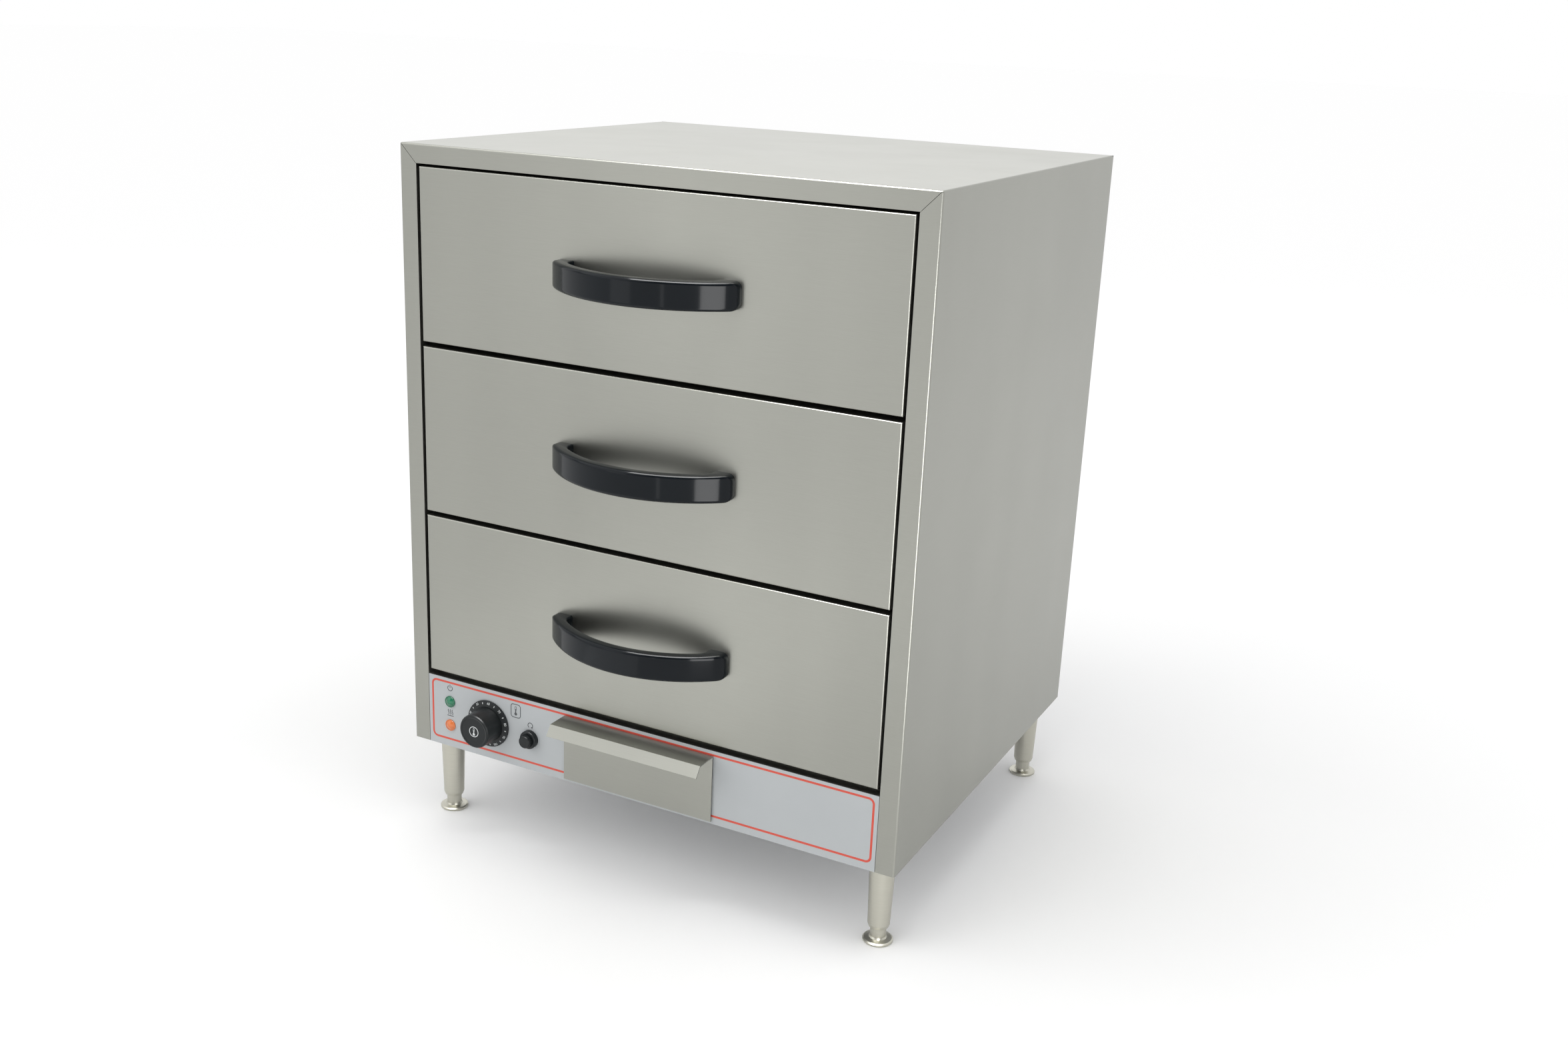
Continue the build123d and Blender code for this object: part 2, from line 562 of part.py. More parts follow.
for index, name in enumerate(DRAWER_NAMES):
    low = drawer_bottom(index)
    centre_z = low + drawer_height / 2
    box_z = low + BOX_LIFT

    # Drawer front: a shallow folded pan, its hollow closed by the box behind it
    with BuildPart() as drawer_front:
        with BuildSketch(front_plane(front_y)):
            with Locations((0, centre_z)):
                Rectangle(drawer_width, drawer_height)
        extrude(amount=-DRAWER_FRONT_DEPTH)
        fillet(faces().sort_by(Axis.Y)[0].edges(), DRAWER_FOLD_RADIUS)
        offset(amount=-SKIN, openings=[faces().sort_by(Axis.Y)[-1]])
        with BuildSketch(front_plane(front_y)):
            with Locations((-screw_x, centre_z), (screw_x, centre_z)):
                Circle(HANDLE_SCREW_RADIUS)
        extrude(amount=-SKIN, mode=Mode.SUBTRACT)
    save(drawer_front, f"drawer_front_{name}")

    # Drawer box: open-topped sheet box with a folded rim, hung on its inner front panel
    with BuildPart() as drawer_box:
        with BuildSketch(Plane.XY.offset(box_z)):
            with Locations((0, box_front_y)):
                Rectangle(box_width, BOX_DEPTH, align=(Align.CENTER, Align.MIN))
        extrude(amount=BOX_HEIGHT)
        fillet(faces().sort_by(Axis.Y)[-1].edges().filter_by(Axis.Z), BOX_CORNER)
        offset(amount=-SKIN, openings=[faces().sort_by(Axis.Z)[-1]])
        with BuildSketch(Plane.XY.offset(box_z + BOX_HEIGHT)):
            with Locations((0, box_front_y)):
                Rectangle(box_width + 2 * BOX_RIM, BOX_DEPTH + BOX_RIM, align=(Align.CENTER, Align.MIN))
            with Locations((0, box_front_y + SKIN)):
                Rectangle(
                    box_width - 2 * SKIN,
                    BOX_DEPTH - 2 * SKIN,
                    align=(Align.CENTER, Align.MIN),
                    mode=Mode.SUBTRACT,
                )
        extrude(amount=-SKIN)
        with BuildSketch(front_plane(box_front_y)):
            with Locations((0, centre_z)):
                Rectangle(drawer_width, drawer_height)
        extrude(amount=-SKIN)
        with BuildSketch(Plane.XY.offset(box_z)):
            with Locations((0, box_front_y + BOX_DEPTH / 2)):
                row_pitch = 2 * FLOOR_SLOT_LENGTH
                with GridLocations(FLOOR_SLOT_PITCH, row_pitch, BOX_SLOT_COLUMNS, BOX_SLOT_ROWS):
                    SlotOverall(FLOOR_SLOT_LENGTH, FLOOR_SLOT_WIDTH)
        extrude(amount=SKIN, mode=Mode.SUBTRACT)
    save(drawer_box, f"drawer_box_{name}")

    # Bow handle: plan outline extruded, its ends rounded in front view, edges eased
    with BuildPart() as handle:
        with BuildSketch(Plane.XY.offset(centre_z - HANDLE_HEIGHT / 2)) as handle_plan:
            with BuildLine():
                Line((-HANDLE_LENGTH / 2, front_y), (-HANDLE_LENGTH / 2, front_y - HANDLE_END_WALL))
                ThreePointArc(
                    (-HANDLE_LENGTH / 2, front_y - HANDLE_END_WALL),
                    (0, front_y - HANDLE_REACH),
                    (HANDLE_LENGTH / 2, front_y - HANDLE_END_WALL),
                )
                Line((HANDLE_LENGTH / 2, front_y - HANDLE_END_WALL), (HANDLE_LENGTH / 2, front_y))
                Line((HANDLE_LENGTH / 2, front_y), (grip_half, front_y))
                Line((grip_half, front_y), (grip_half, front_y - grip_wall))
                ThreePointArc(
                    (grip_half, front_y - grip_wall),
                    (0, front_y - HANDLE_REACH + HANDLE_THICKNESS),
                    (-grip_half, front_y - grip_wall),
                )
                Line((-grip_half, front_y - grip_wall), (-grip_half, front_y))
                Line((-grip_half, front_y), (-HANDLE_LENGTH / 2, front_y))
            make_face()
            end_corners = handle_plan.vertices().group_by(Axis.Y)[-2]
            fillet(end_corners, plan_radius)
        extrude(amount=HANDLE_HEIGHT)
        level_edges = [edge for face in faces().filter_by(Axis.Z) for edge in face.edges()]
        fillet([edge for edge in level_edges if edge.center().Y < front_y - 0.01], HANDLE_EDGE)
        with BuildSketch(front_plane(front_y)):
            with Locations((0, centre_z)):
                RectangleRounded(HANDLE_LENGTH, HANDLE_HEIGHT, HANDLE_CORNER)
        extrude(amount=HANDLE_REACH, mode=Mode.INTERSECT)
        with BuildSketch(front_plane(front_y)):
            with Locations((-screw_x, centre_z), (screw_x, centre_z)):
                Circle(HANDLE_SCREW_RADIUS)
        extrude(amount=HANDLE_SCREW_DEPTH, mode=Mode.SUBTRACT)
    save(handle, f"handle_{name}")

    with BuildPart() as handle_screws:
        with BuildSketch(front_plane(front_y + SKIN)):
            with Locations((-screw_x, centre_z), (screw_x, centre_z)):
                Circle(HANDLE_SCREW_RADIUS)
        extrude(amount=SKIN + HANDLE_SCREW_DEPTH)
        with BuildSketch(front_plane(front_y + SKIN)):
            with Locations((-screw_x, centre_z), (screw_x, centre_z)):
                Circle(SCREW_HEAD_RADIUS)
        extrude(amount=-SCREW_HEAD_HEIGHT, taper=SCREW_HEAD_TAPER)
    save(handle_screws, f"handle_screws_{name}")

    # Inner slide members: channels on the box sides, open towards the cabinet walls
    with BuildPart() as slide_inner:
        with BuildSketch(front_plane(slide_y)):
            for side in (-1, 1):
                web = box_width / 2
                reach = INNER_MEMBER_DEPTH
                with Locations((side * (web + reach / 2), slide_height(index))):
                    Rectangle(reach, inner_height)
                with Locations((side * (web + SLIDE_SHEET + reach / 2), slide_height(index))):
                    Rectangle(reach, inner_height - 2 * SLIDE_SHEET, mode=Mode.SUBTRACT)
        extrude(amount=-SLIDE_LENGTH)
    save(slide_inner, f"slide_inner_{name}")

    # Middle slide members, each with ball cages: outside near its back, inside near its front
    with BuildPart() as slide_mid:
        with BuildSketch(front_plane(slide_y)):
            for side in (-1, 1):
                channel(side, mid_wall, outer_depth - 2 * SLIDE_SHEET, mid_height, slide_height(index))
        extrude(amount=-SLIDE_LENGTH)
        cage_x = mid_wall - outer_depth / 2
        for start, race in (
            (SLIDE_LENGTH - CAGE_LENGTH - SLIDE_SHEET, mid_height / 2 + cage_thickness / 2),
            (SLIDE_SHEET, mid_height / 2 - SLIDE_SHEET - cage_thickness / 2),
        ):
            with BuildSketch(front_plane(slide_y + start)):
                for side in (-1, 1):
                    for end in (-1, 1):
                        with Locations((side * cage_x, slide_height(index) + end * race)):
                            Rectangle(SLIDE_RACE, cage_thickness)
            extrude(amount=-CAGE_LENGTH)
    save(slide_mid, f"slide_mid_{name}")

# Fascia panel: folded top and bottom, with the tray cut-out and the holes for the controls
fascia_width = opening_width - 2 * FASCIA_SIDE_GAP
cutout_width = TRAY_WIDTH + 2 * (TRAY_RIM + TRAY_GAP)
cutout_bottom = base_z + TRAY_BOTTOM - TRAY_GAP
cutout_top = base_z + TRAY_BOTTOM + TRAY_HEIGHT + TRAY_GAP
reset_bore = RESET_BUTTON_RADIUS + RESET_GAP
reset_bush = reset_bore + RESET_BUSH_WALL


def control_holes(mode):
    """Holes and tray cut-out shared by the fascia panel and the overlay on it."""
    with Locations((lamp_x, base_z + POWER_LAMP_Z), (lamp_x, base_z + HEAT_LAMP_Z)):
        Circle(LAMP_BARREL_RADIUS, mode=mode)
    with Locations((knob_x, base_z + KNOB_Z)):
        Circle(BUSH_RADIUS, mode=mode)
    with Locations((reset_x, base_z + RESET_Z)):
        Circle(reset_bush, mode=mode)
    with Locations((0, cutout_bottom)):
        Rectangle(cutout_width, cutout_top - cutout_bottom, align=(Align.CENTER, Align.MIN), mode=mode)


with BuildPart() as fascia_panel:
    with BuildSketch(front_plane(fascia_y)):
        with Locations((0, base_z)):
            Rectangle(fascia_width, FASCIA_HEIGHT, align=(Align.CENTER, Align.MIN))
    extrude(amount=-(JAMB_DEPTH - OVERLAY))
    open_faces = [faces().sort_by(Axis.Y)[-1], faces().sort_by(Axis.X)[0], faces().sort_by(Axis.X)[-1]]
    offset(amount=-SKIN, openings=open_faces)
    with BuildSketch(front_plane(fascia_y)):
        control_holes(Mode.ADD)
    extrude(amount=-SKIN, mode=Mode.SUBTRACT)
save(fascia_panel, "fascia_panel")

with BuildPart() as fascia_overlay:
    with BuildSketch(front_plane(front_y)):
        with Locations((0, base_z)):
            Rectangle(fascia_width, FASCIA_HEIGHT, align=(Align.CENTER, Align.MIN))
        control_holes(Mode.SUBTRACT)
    extrude(amount=-OVERLAY)
save(fascia_overlay, "fascia_overlay")

# Indicator lamps: a domed lens and bezel on a barrel pushed through the fascia
dome_rise = LAMP_DOME - LAMP_BEZEL
dome_radius = (LAMP_RADIUS**2 + dome_rise**2) / (2 * dome_rise)
dome_angle = asin(LAMP_RADIUS / dome_radius) / 2
dome_mid_y = front_y - LAMP_DOME + dome_radius * (1 - cos(dome_angle))
for name, lamp_z in (("power_lamp", POWER_LAMP_Z), ("heat_lamp", HEAT_LAMP_Z)):
    axis_z = base_z + lamp_z
    with BuildPart() as lamp:
        with BuildSketch(Plane.YZ.offset(lamp_x)):
            with BuildLine():
                Polyline(
                    (front_y - LAMP_DOME, axis_z),
                    (front_y + LAMP_DEPTH, axis_z),
                    (front_y + LAMP_DEPTH, axis_z + LAMP_BARREL_RADIUS),
                    (front_y, axis_z + LAMP_BARREL_RADIUS),
                    (front_y, axis_z + LAMP_RADIUS),
                    (front_y - LAMP_BEZEL, axis_z + LAMP_RADIUS),
                )
                ThreePointArc(
                    (front_y - LAMP_BEZEL, axis_z + LAMP_RADIUS),
                    (dome_mid_y, axis_z + dome_radius * sin(dome_angle)),
                    (front_y - LAMP_DOME, axis_z),
                )
            make_face()
        revolve(axis=Axis((lamp_x, 0, axis_z), (0, 1, 0)))
    save(lamp, name)

# Thermostat: body behind the fascia, its bush through the hole, shaft and knob in front
knob_axis_z = base_z + KNOB_Z
with BuildPart() as thermostat_body:
    with BuildSketch(front_plane(fascia_back)):
        with Locations((knob_x, knob_axis_z)):
            RectangleRounded(THERMOSTAT_SIZE, THERMOSTAT_SIZE, THERMOSTAT_CORNER)
    extrude(amount=-THERMOSTAT_DEPTH)
    with BuildSketch(front_plane(fascia_back)):
        with Locations((knob_x, knob_axis_z)):
            Circle(BUSH_RADIUS)
    extrude(amount=fascia_back - front_y)
    with BuildSketch(front_plane(front_y)):
        with Locations((knob_x, knob_axis_z)):
            Circle(SHAFT_RADIUS + SHAFT_CLEARANCE)
    extrude(amount=-SHAFT_WELL, mode=Mode.SUBTRACT)
save(thermostat_body, "thermostat_body")

knob_back = front_y - KNOB_CLEARANCE
knob_front = front_y - KNOB_REACH
shaft_front = front_y - SHAFT_REACH
with BuildPart() as thermostat_shaft:
    with BuildSketch(front_plane(front_y + SHAFT_BACK)):
        with Locations((knob_x, knob_axis_z)):
            Circle(SHAFT_RADIUS)
    extrude(amount=SHAFT_BACK + SHAFT_REACH)
save(thermostat_shaft, "thermostat_shaft")

with BuildPart() as thermostat_knob:
    with BuildSketch(Plane.YZ.offset(knob_x)):
        with BuildLine():
            skirt_front = knob_back - KNOB_SKIRT_HEIGHT
            Polyline(
                (shaft_front, knob_axis_z + SHAFT_RADIUS),
                (knob_back, knob_axis_z + SHAFT_RADIUS),
                (knob_back, knob_axis_z + KNOB_SKIRT_RADIUS),
                (skirt_front + KNOB_SKIRT_FALL, knob_axis_z + KNOB_SKIRT_RADIUS),
                (skirt_front, knob_axis_z + KNOB_CAP_RADIUS + KNOB_CAP_FLARE + 1),
                (skirt_front, knob_axis_z + KNOB_CAP_RADIUS + KNOB_CAP_FLARE),
                (knob_front + 2 * KNOB_CAP_EDGE, knob_axis_z + KNOB_CAP_RADIUS),
                (knob_front + KNOB_CAP_EDGE / 2, knob_axis_z + KNOB_CAP_RADIUS - KNOB_CAP_EDGE),
                (knob_front, knob_axis_z + KNOB_CAP_RADIUS - 2.5 * KNOB_CAP_EDGE),
                (knob_front + KNOB_CAP_DISH, knob_axis_z + KNOB_CAP_RADIUS - 4.5 * KNOB_CAP_EDGE),
                (knob_front + KNOB_CAP_DISH, knob_axis_z),
                (shaft_front, knob_axis_z),
                close=True,
            )
        make_face()
    revolve(axis=Axis((knob_x, 0, knob_axis_z), (0, 1, 0)))
save(thermostat_knob, "thermostat_knob")

# Limit thermostat: body with a threaded bush through the fascia, a collar and a reset button
reset_axis_z = base_z + RESET_Z
with BuildPart() as limit_body:
    with BuildSketch(front_plane(fascia_back)):
        with Locations((reset_x, reset_axis_z)):
            RectangleRounded(LIMIT_SIZE, LIMIT_SIZE, THERMOSTAT_CORNER)
    extrude(amount=-LIMIT_DEPTH)
    bush_front = front_y - RESET_BUSH_REACH
    with BuildSketch(front_plane(fascia_back)):
        with Locations((reset_x, reset_axis_z)):
            Circle(reset_bush)
    extrude(amount=fascia_back - bush_front)
    with BuildSketch(front_plane(bush_front)):
        with Locations((reset_x, reset_axis_z)):
            Circle(reset_bore)
    extrude(amount=-(RESET_WELL + fascia_back - bush_front), mode=Mode.SUBTRACT)
save(limit_body, "limit_thermostat_body")

with BuildPart() as reset_collar:
    with BuildSketch(front_plane(front_y)):
        with Locations((reset_x, reset_axis_z)):
            Circle(RESET_COLLAR_RADIUS)
    extrude(amount=RESET_COLLAR_HEIGHT)
    fillet(faces().sort_by(Axis.Y)[0].edges(), RESET_COLLAR_EDGE)
    with BuildSketch(front_plane(front_y)):
        with Locations((reset_x, reset_axis_z)):
            Circle(reset_bush)
    extrude(amount=front_y - bush_front, mode=Mode.SUBTRACT)
    with BuildSketch(front_plane(front_y)):
        with Locations((reset_x, reset_axis_z)):
            Circle(reset_bore)
    extrude(amount=RESET_COLLAR_HEIGHT, mode=Mode.SUBTRACT)
save(reset_collar, "reset_collar")

with BuildPart() as reset_button:
    with BuildSketch(front_plane(front_y - RESET_REACH)):
        with Locations((reset_x, reset_axis_z)):
            Circle(RESET_BUTTON_RADIUS)
    extrude(amount=-(RESET_REACH + RESET_WELL - 2 * RESET_TRAVEL))
    fillet(faces().sort_by(Axis.Y)[0].edges(), RESET_BUTTON_EDGE)
save(reset_button, "reset_button")

# Sensor bulbs and their capillaries run straight back from the two thermostats
bulb_lines = [
    (knob_x, knob_axis_z, fascia_back + THERMOSTAT_DEPTH),
    (reset_x, reset_axis_z, fascia_back + LIMIT_DEPTH),
]
with BuildPart() as sensor_bulbs:
    for x, z, start in bulb_lines:
        with BuildSketch(front_plane(start)):
            with Locations((x, z)):
                Circle(CAPILLARY_RADIUS)
        extrude(amount=-CAPILLARY_LENGTH)
        with BuildSketch(front_plane(start + CAPILLARY_LENGTH)):
            with Locations((x, z)):
                Circle(BULB_RADIUS)
        extrude(amount=-BULB_LENGTH)
save(sensor_bulbs, "sensor_bulbs")

with BuildPart() as bulb_clips:
    for x, z, start in bulb_lines:
        with BuildSketch(front_plane(start + CAPILLARY_LENGTH + BULB_LENGTH / 2)):
            clip_bottom = base_z + BASE_SHEET
            with Locations((x, clip_bottom)):
                Rectangle(2 * CLIP_WALL, z - clip_bottom, align=(Align.CENTER, Align.MIN))
                Rectangle(4 * BULB_RADIUS, CLIP_WALL, align=(Align.CENTER, Align.MIN))
            with Locations((x, z)):
                Circle(BULB_RADIUS + CLIP_WALL)
                Circle(BULB_RADIUS, mode=Mode.SUBTRACT)
        extrude(amount=-CLIP_WIDTH)
save(bulb_clips, "bulb_clips")

# Heating element: a tube bent back and forth under the cavity floor
element_z = floor_z - LINER_SHEET - ELEMENT_DROP
element_front = front_y + ELEMENT_FRONT
element_back = back_y - ELEMENT_BACK
first_x = -ELEMENT_PITCH * (ELEMENT_RUNS - 1) / 2
with BuildPart() as heating_element:
    with BuildLine() as element_path:
        for run in range(ELEMENT_RUNS):
            run_x = first_x + run * ELEMENT_PITCH
            forward = run % 2 == 0
            start_y = element_back if forward else element_front
            end_y = element_front if forward else element_back
            Line((run_x, start_y, element_z), (run_x, end_y, element_z))
            if run < ELEMENT_RUNS - 1:
                bulge = -ELEMENT_PITCH / 2 if forward else ELEMENT_PITCH / 2
                ThreePointArc(
                    (run_x, end_y, element_z),
                    (run_x + ELEMENT_PITCH / 2, end_y + bulge, element_z),
                    (run_x + ELEMENT_PITCH, end_y, element_z),
                )
    with BuildSketch(Plane(element_path.line @ 0, z_dir=element_path.line % 0)):
        Circle(ELEMENT_RADIUS)
    sweep()
    with BuildSketch(front_plane(element_back)):
        with Locations((first_x, element_z), (-first_x, element_z)):
            Circle(ELEMENT_PIN_RADIUS)
    extrude(amount=-ELEMENT_PIN_LENGTH)
save(heating_element, "heating_element")

# Element supports: straps hung from the cavity floor
support_half = -first_x + SUPPORT_OVERHANG
support_z = element_z - ELEMENT_RADIUS - SUPPORT_SHEET
support_top = floor_z - LINER_SHEET
with BuildPart() as element_supports:
    for strap_y in (element_front + 2 * SUPPORT_WIDTH, element_back - 3 * SUPPORT_WIDTH):
        with BuildSketch(front_plane(strap_y)):
            with Locations((0, support_z)):
                Rectangle(2 * support_half, support_top - support_z, align=(Align.CENTER, Align.MIN))
            with Locations((0, support_z + SUPPORT_SHEET)):
                Rectangle(
                    2 * (support_half - SUPPORT_SHEET),
                    support_top - support_z,
                    align=(Align.CENTER, Align.MIN),
                    mode=Mode.SUBTRACT,
                )
        extrude(amount=-SUPPORT_WIDTH)
save(element_supports, "element_supports")

# Terminal block on the base pan behind the gland
terminal_y = back_y - 3 * TERMINAL_DEPTH
terminal_pitch = TERMINAL_LENGTH / TERMINAL_POLES
with BuildPart() as terminal_block:
    with BuildSketch(Plane.XY.offset(base_z + BASE_SHEET)):
        with Locations((gland_x, terminal_y)):
            Rectangle(TERMINAL_LENGTH, TERMINAL_DEPTH)
    extrude(amount=TERMINAL_HEIGHT)
    with BuildSketch(Plane.XY.offset(base_z + BASE_SHEET + TERMINAL_HEIGHT)):
        with Locations((gland_x, terminal_y)):
            with GridLocations(terminal_pitch, TERMINAL_DEPTH / 2, TERMINAL_POLES, 2):
                Circle(TERMINAL_WELL_RADIUS)
    extrude(amount=-TERMINAL_WELL_DEPTH, mode=Mode.SUBTRACT)
save(terminal_block, "terminal_block")

# Cable gland: hexagonal flange and domed nut outside, thread and lock nut inside
gland_axis_z = base_z + GLAND_Z
with BuildPart() as cable_gland:
    with BuildSketch(front_plane(back_y)):
        with Locations((gland_x, gland_axis_z)):
            RegularPolygon(GLAND_FLANGE_RADIUS, 6)
    extrude(amount=-GLAND_FLANGE_HEIGHT)
    with BuildSketch(front_plane(back_y + GLAND_FLANGE_HEIGHT)):
        with Locations((gland_x, gland_axis_z)):
            Circle(GLAND_CAP_RADIUS)
    extrude(amount=GLAND_FLANGE_HEIGHT - GLAND_REACH)
    fillet(faces().sort_by(Axis.Y)[-1].edges(), GLAND_CAP_EDGE)
    with BuildSketch(front_plane(back_y)):
        with Locations((gland_x, gland_axis_z)):
            Circle(GLAND_THREAD_RADIUS)
    extrude(amount=SKIN + GLAND_INSIDE)
    with BuildSketch(front_plane(back_y + GLAND_REACH)):
        with Locations((gland_x, gland_axis_z)):
            Circle(GLAND_BORE_RADIUS)
    extrude(amount=GLAND_REACH + SKIN + GLAND_INSIDE, mode=Mode.SUBTRACT)
save(cable_gland, "cable_gland")

with BuildPart() as gland_nut:
    with BuildSketch(front_plane(back_y - SKIN)):
        with Locations((gland_x, gland_axis_z)):
            RegularPolygon(GLAND_FLANGE_RADIUS, 6)
            Circle(GLAND_THREAD_RADIUS, mode=Mode.SUBTRACT)
    extrude(amount=GLAND_NUT_HEIGHT)
save(gland_nut, "gland_nut")

# Tray front: flat panel folded over at the top into a finger lip
tray_back = front_y - TRAY_STANDOFF
tray_face = tray_back - TRAY_SHEET
lip_y = front_y - TRAY_LIP_REACH
with BuildPart() as tray_front:
    with BuildSketch(Plane.YZ.offset(-TRAY_FRONT_WIDTH / 2)):
        with BuildLine():
            Polyline(
                (tray_back, base_z + TRAY_FRONT_BOTTOM),
                (tray_back, base_z + TRAY_FRONT_TOP),
                (lip_y, base_z + TRAY_FRONT_TOP),
                (lip_y - TRAY_LIP_LEAN, base_z + TRAY_FRONT_TOP - TRAY_LIP_DROP),
            )
            offset(amount=TRAY_SHEET, side=Side.LEFT)
        make_face()
    extrude(amount=TRAY_FRONT_WIDTH)
save(tray_front, "tray_front")

# Tray pan: deep-drawn pan whose rims hang on the rails behind the fascia
tray_end = front_y + TRAY_DEPTH
pan_z = base_z + TRAY_BOTTOM
rim_z = pan_z + TRAY_HEIGHT - TRAY_SHEET
with BuildPart() as tray_pan:
    with BuildSketch(Plane.XY.offset(pan_z)):
        with Locations((0, tray_back)):
            Rectangle(TRAY_WIDTH, tray_end - tray_back, align=(Align.CENTER, Align.MIN))
    extrude(amount=TRAY_HEIGHT)
    fillet(edges().filter_by(Axis.Z), TRAY_CORNER)
    offset(amount=-TRAY_SHEET, openings=[faces().sort_by(Axis.Z)[-1]])
    with BuildSketch(Plane.XY.offset(rim_z)):
        for side in (-1, 1):
            rim_x = side * (TRAY_WIDTH / 2 - TRAY_SHEET)
            with Locations((rim_x, front_y + TRAY_RIM_SETBACK)):
                Rectangle(
                    TRAY_RIM + TRAY_SHEET,
                    TRAY_DEPTH - TRAY_RIM_SETBACK - TRAY_CORNER,
                    align=(Align.MIN if side > 0 else Align.MAX, Align.MIN),
                )
    extrude(amount=TRAY_SHEET)
save(tray_pan, "tray_pan")

# Tray rails: folded strips with a foot on the base pan and a ledge under each rim
rail_x = TRAY_WIDTH / 2 + TRAY_RIM + TRAY_GAP
ledge_x = TRAY_WIDTH / 2 + TRAY_GAP
ledge_z = rim_z - RUNNING_GAP
with BuildPart() as tray_rails:
    with BuildSketch(front_plane(front_y + TRAY_RIM_SETBACK)):
        for side in (-1, 1):
            foot_z = base_z + BASE_SHEET
            with Locations((side * (rail_x + RAIL_FOOT / 2), foot_z + RAIL_SHEET / 2)):
                Rectangle(RAIL_FOOT, RAIL_SHEET)
            with Locations((side * (rail_x + RAIL_SHEET / 2), (foot_z + ledge_z) / 2)):
                Rectangle(RAIL_SHEET, ledge_z - foot_z)
            with Locations((side * (ledge_x + rail_x) / 2, ledge_z - RAIL_SHEET / 2)):
                Rectangle(rail_x - ledge_x, RAIL_SHEET)
    extrude(amount=-RAIL_LENGTH)
save(tray_rails, "tray_rails")
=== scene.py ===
import json
import math

import bmesh
import bpy
import numpy as np
from mathutils import Matrix, Vector


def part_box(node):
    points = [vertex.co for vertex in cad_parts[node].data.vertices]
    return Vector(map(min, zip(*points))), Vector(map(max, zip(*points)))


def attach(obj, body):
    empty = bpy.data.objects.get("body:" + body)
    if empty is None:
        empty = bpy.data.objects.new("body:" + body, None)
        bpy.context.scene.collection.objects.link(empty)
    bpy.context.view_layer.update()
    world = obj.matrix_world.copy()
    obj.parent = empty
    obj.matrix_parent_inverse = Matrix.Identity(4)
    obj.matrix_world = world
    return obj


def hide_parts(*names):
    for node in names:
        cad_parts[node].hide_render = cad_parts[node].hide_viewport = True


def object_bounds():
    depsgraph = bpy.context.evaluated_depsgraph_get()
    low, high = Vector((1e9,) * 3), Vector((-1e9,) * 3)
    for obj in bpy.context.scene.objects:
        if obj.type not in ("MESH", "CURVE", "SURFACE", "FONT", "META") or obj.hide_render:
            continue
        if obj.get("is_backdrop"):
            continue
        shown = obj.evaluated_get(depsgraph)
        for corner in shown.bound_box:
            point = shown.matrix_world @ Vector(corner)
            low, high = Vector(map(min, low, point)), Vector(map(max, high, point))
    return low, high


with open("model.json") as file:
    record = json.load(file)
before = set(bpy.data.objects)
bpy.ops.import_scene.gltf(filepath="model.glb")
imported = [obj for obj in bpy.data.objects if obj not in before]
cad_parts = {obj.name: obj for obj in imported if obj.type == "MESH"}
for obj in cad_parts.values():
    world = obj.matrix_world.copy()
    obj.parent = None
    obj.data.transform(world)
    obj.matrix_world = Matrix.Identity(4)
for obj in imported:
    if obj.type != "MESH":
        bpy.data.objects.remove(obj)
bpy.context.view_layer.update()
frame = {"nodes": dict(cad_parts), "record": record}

# Places read from the CAD nodes, in metres
SHEET = 0.001
wrap_low, wrap_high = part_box("outer_wrap")
FRONT_Y = wrap_low.y
BACK_Y = wrap_high.y + SHEET
BASE_Z = wrap_low.z
KNOB_SKIRT = 0.003
KNOB_CAP_SINK = 0.0006
knob_low, knob_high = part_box("thermostat_knob")
KNOB_X = (knob_low.x + knob_high.x) / 2
KNOB_Z = (knob_low.z + knob_high.z) / 2
KNOB_SKIRT_Y = knob_high.y - KNOB_SKIRT
KNOB_CAP_Y = knob_low.y + KNOB_CAP_SINK
reset_low, reset_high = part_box("reset_button")
RESET_X = (reset_low.x + reset_high.x) / 2
RESET_Z = (reset_low.z + reset_high.z) / 2
gland_low, gland_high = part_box("cable_gland")
GLAND_X = (gland_low.x + gland_high.x) / 2
GLAND_Z = (gland_low.z + gland_high.z) / 2
DRAWERS = ("top", "middle", "bottom")


# Meshes worked out as whole arrays
def grid_faces(rows, columns, close_rows=False, close_columns=False, cap_ends=False):
    """Quads of a rows by columns grid, as index lists.

    close_rows and close_columns join the last row or column to the first, and cap_ends closes the
    first and last rows with one flat face each.
    """
    row, column = np.meshgrid(
        np.arange(rows if close_rows else rows - 1),
        np.arange(columns if close_columns else columns - 1),
        indexing="ij",
    )
    next_row, next_column = (row + 1) % rows, (column + 1) % columns
    corners = ((row, column), (row, next_column), (next_row, next_column), (next_row, column))
    faces = np.stack([r * columns + c for r, c in corners], -1).reshape(-1, 4).tolist()
    if cap_ends:
        faces.append(list(range(columns))[::-1])
        faces.append([(rows - 1) * columns + k for k in range(columns)])
    return faces


def outwards(mesh):
    """Merges doubles and recalculates the normals so that they point out of the shape."""
    shape = bmesh.new()
    shape.from_mesh(mesh)
    bmesh.ops.remove_doubles(shape, verts=shape.verts, dist=1e-7)
    bmesh.ops.recalc_face_normals(shape, faces=shape.faces)
    shape.to_mesh(mesh)
    shape.free()


def mesh_piece(name, points, faces, sharp=30.0):
    """A smooth-shaded mesh object from points and faces; edges over the sharp angle stay sharp."""
    mesh = bpy.data.meshes.new(name)
    mesh.from_pydata(np.asarray(points).tolist(), [], faces)
    mesh.validate()
    piece = bpy.data.objects.new(name, mesh)
    bpy.context.scene.collection.objects.link(piece)
    outwards(mesh)
    mesh.shade_smooth()
    mesh.set_sharp_from_angle(angle=math.radians(sharp))
    return piece


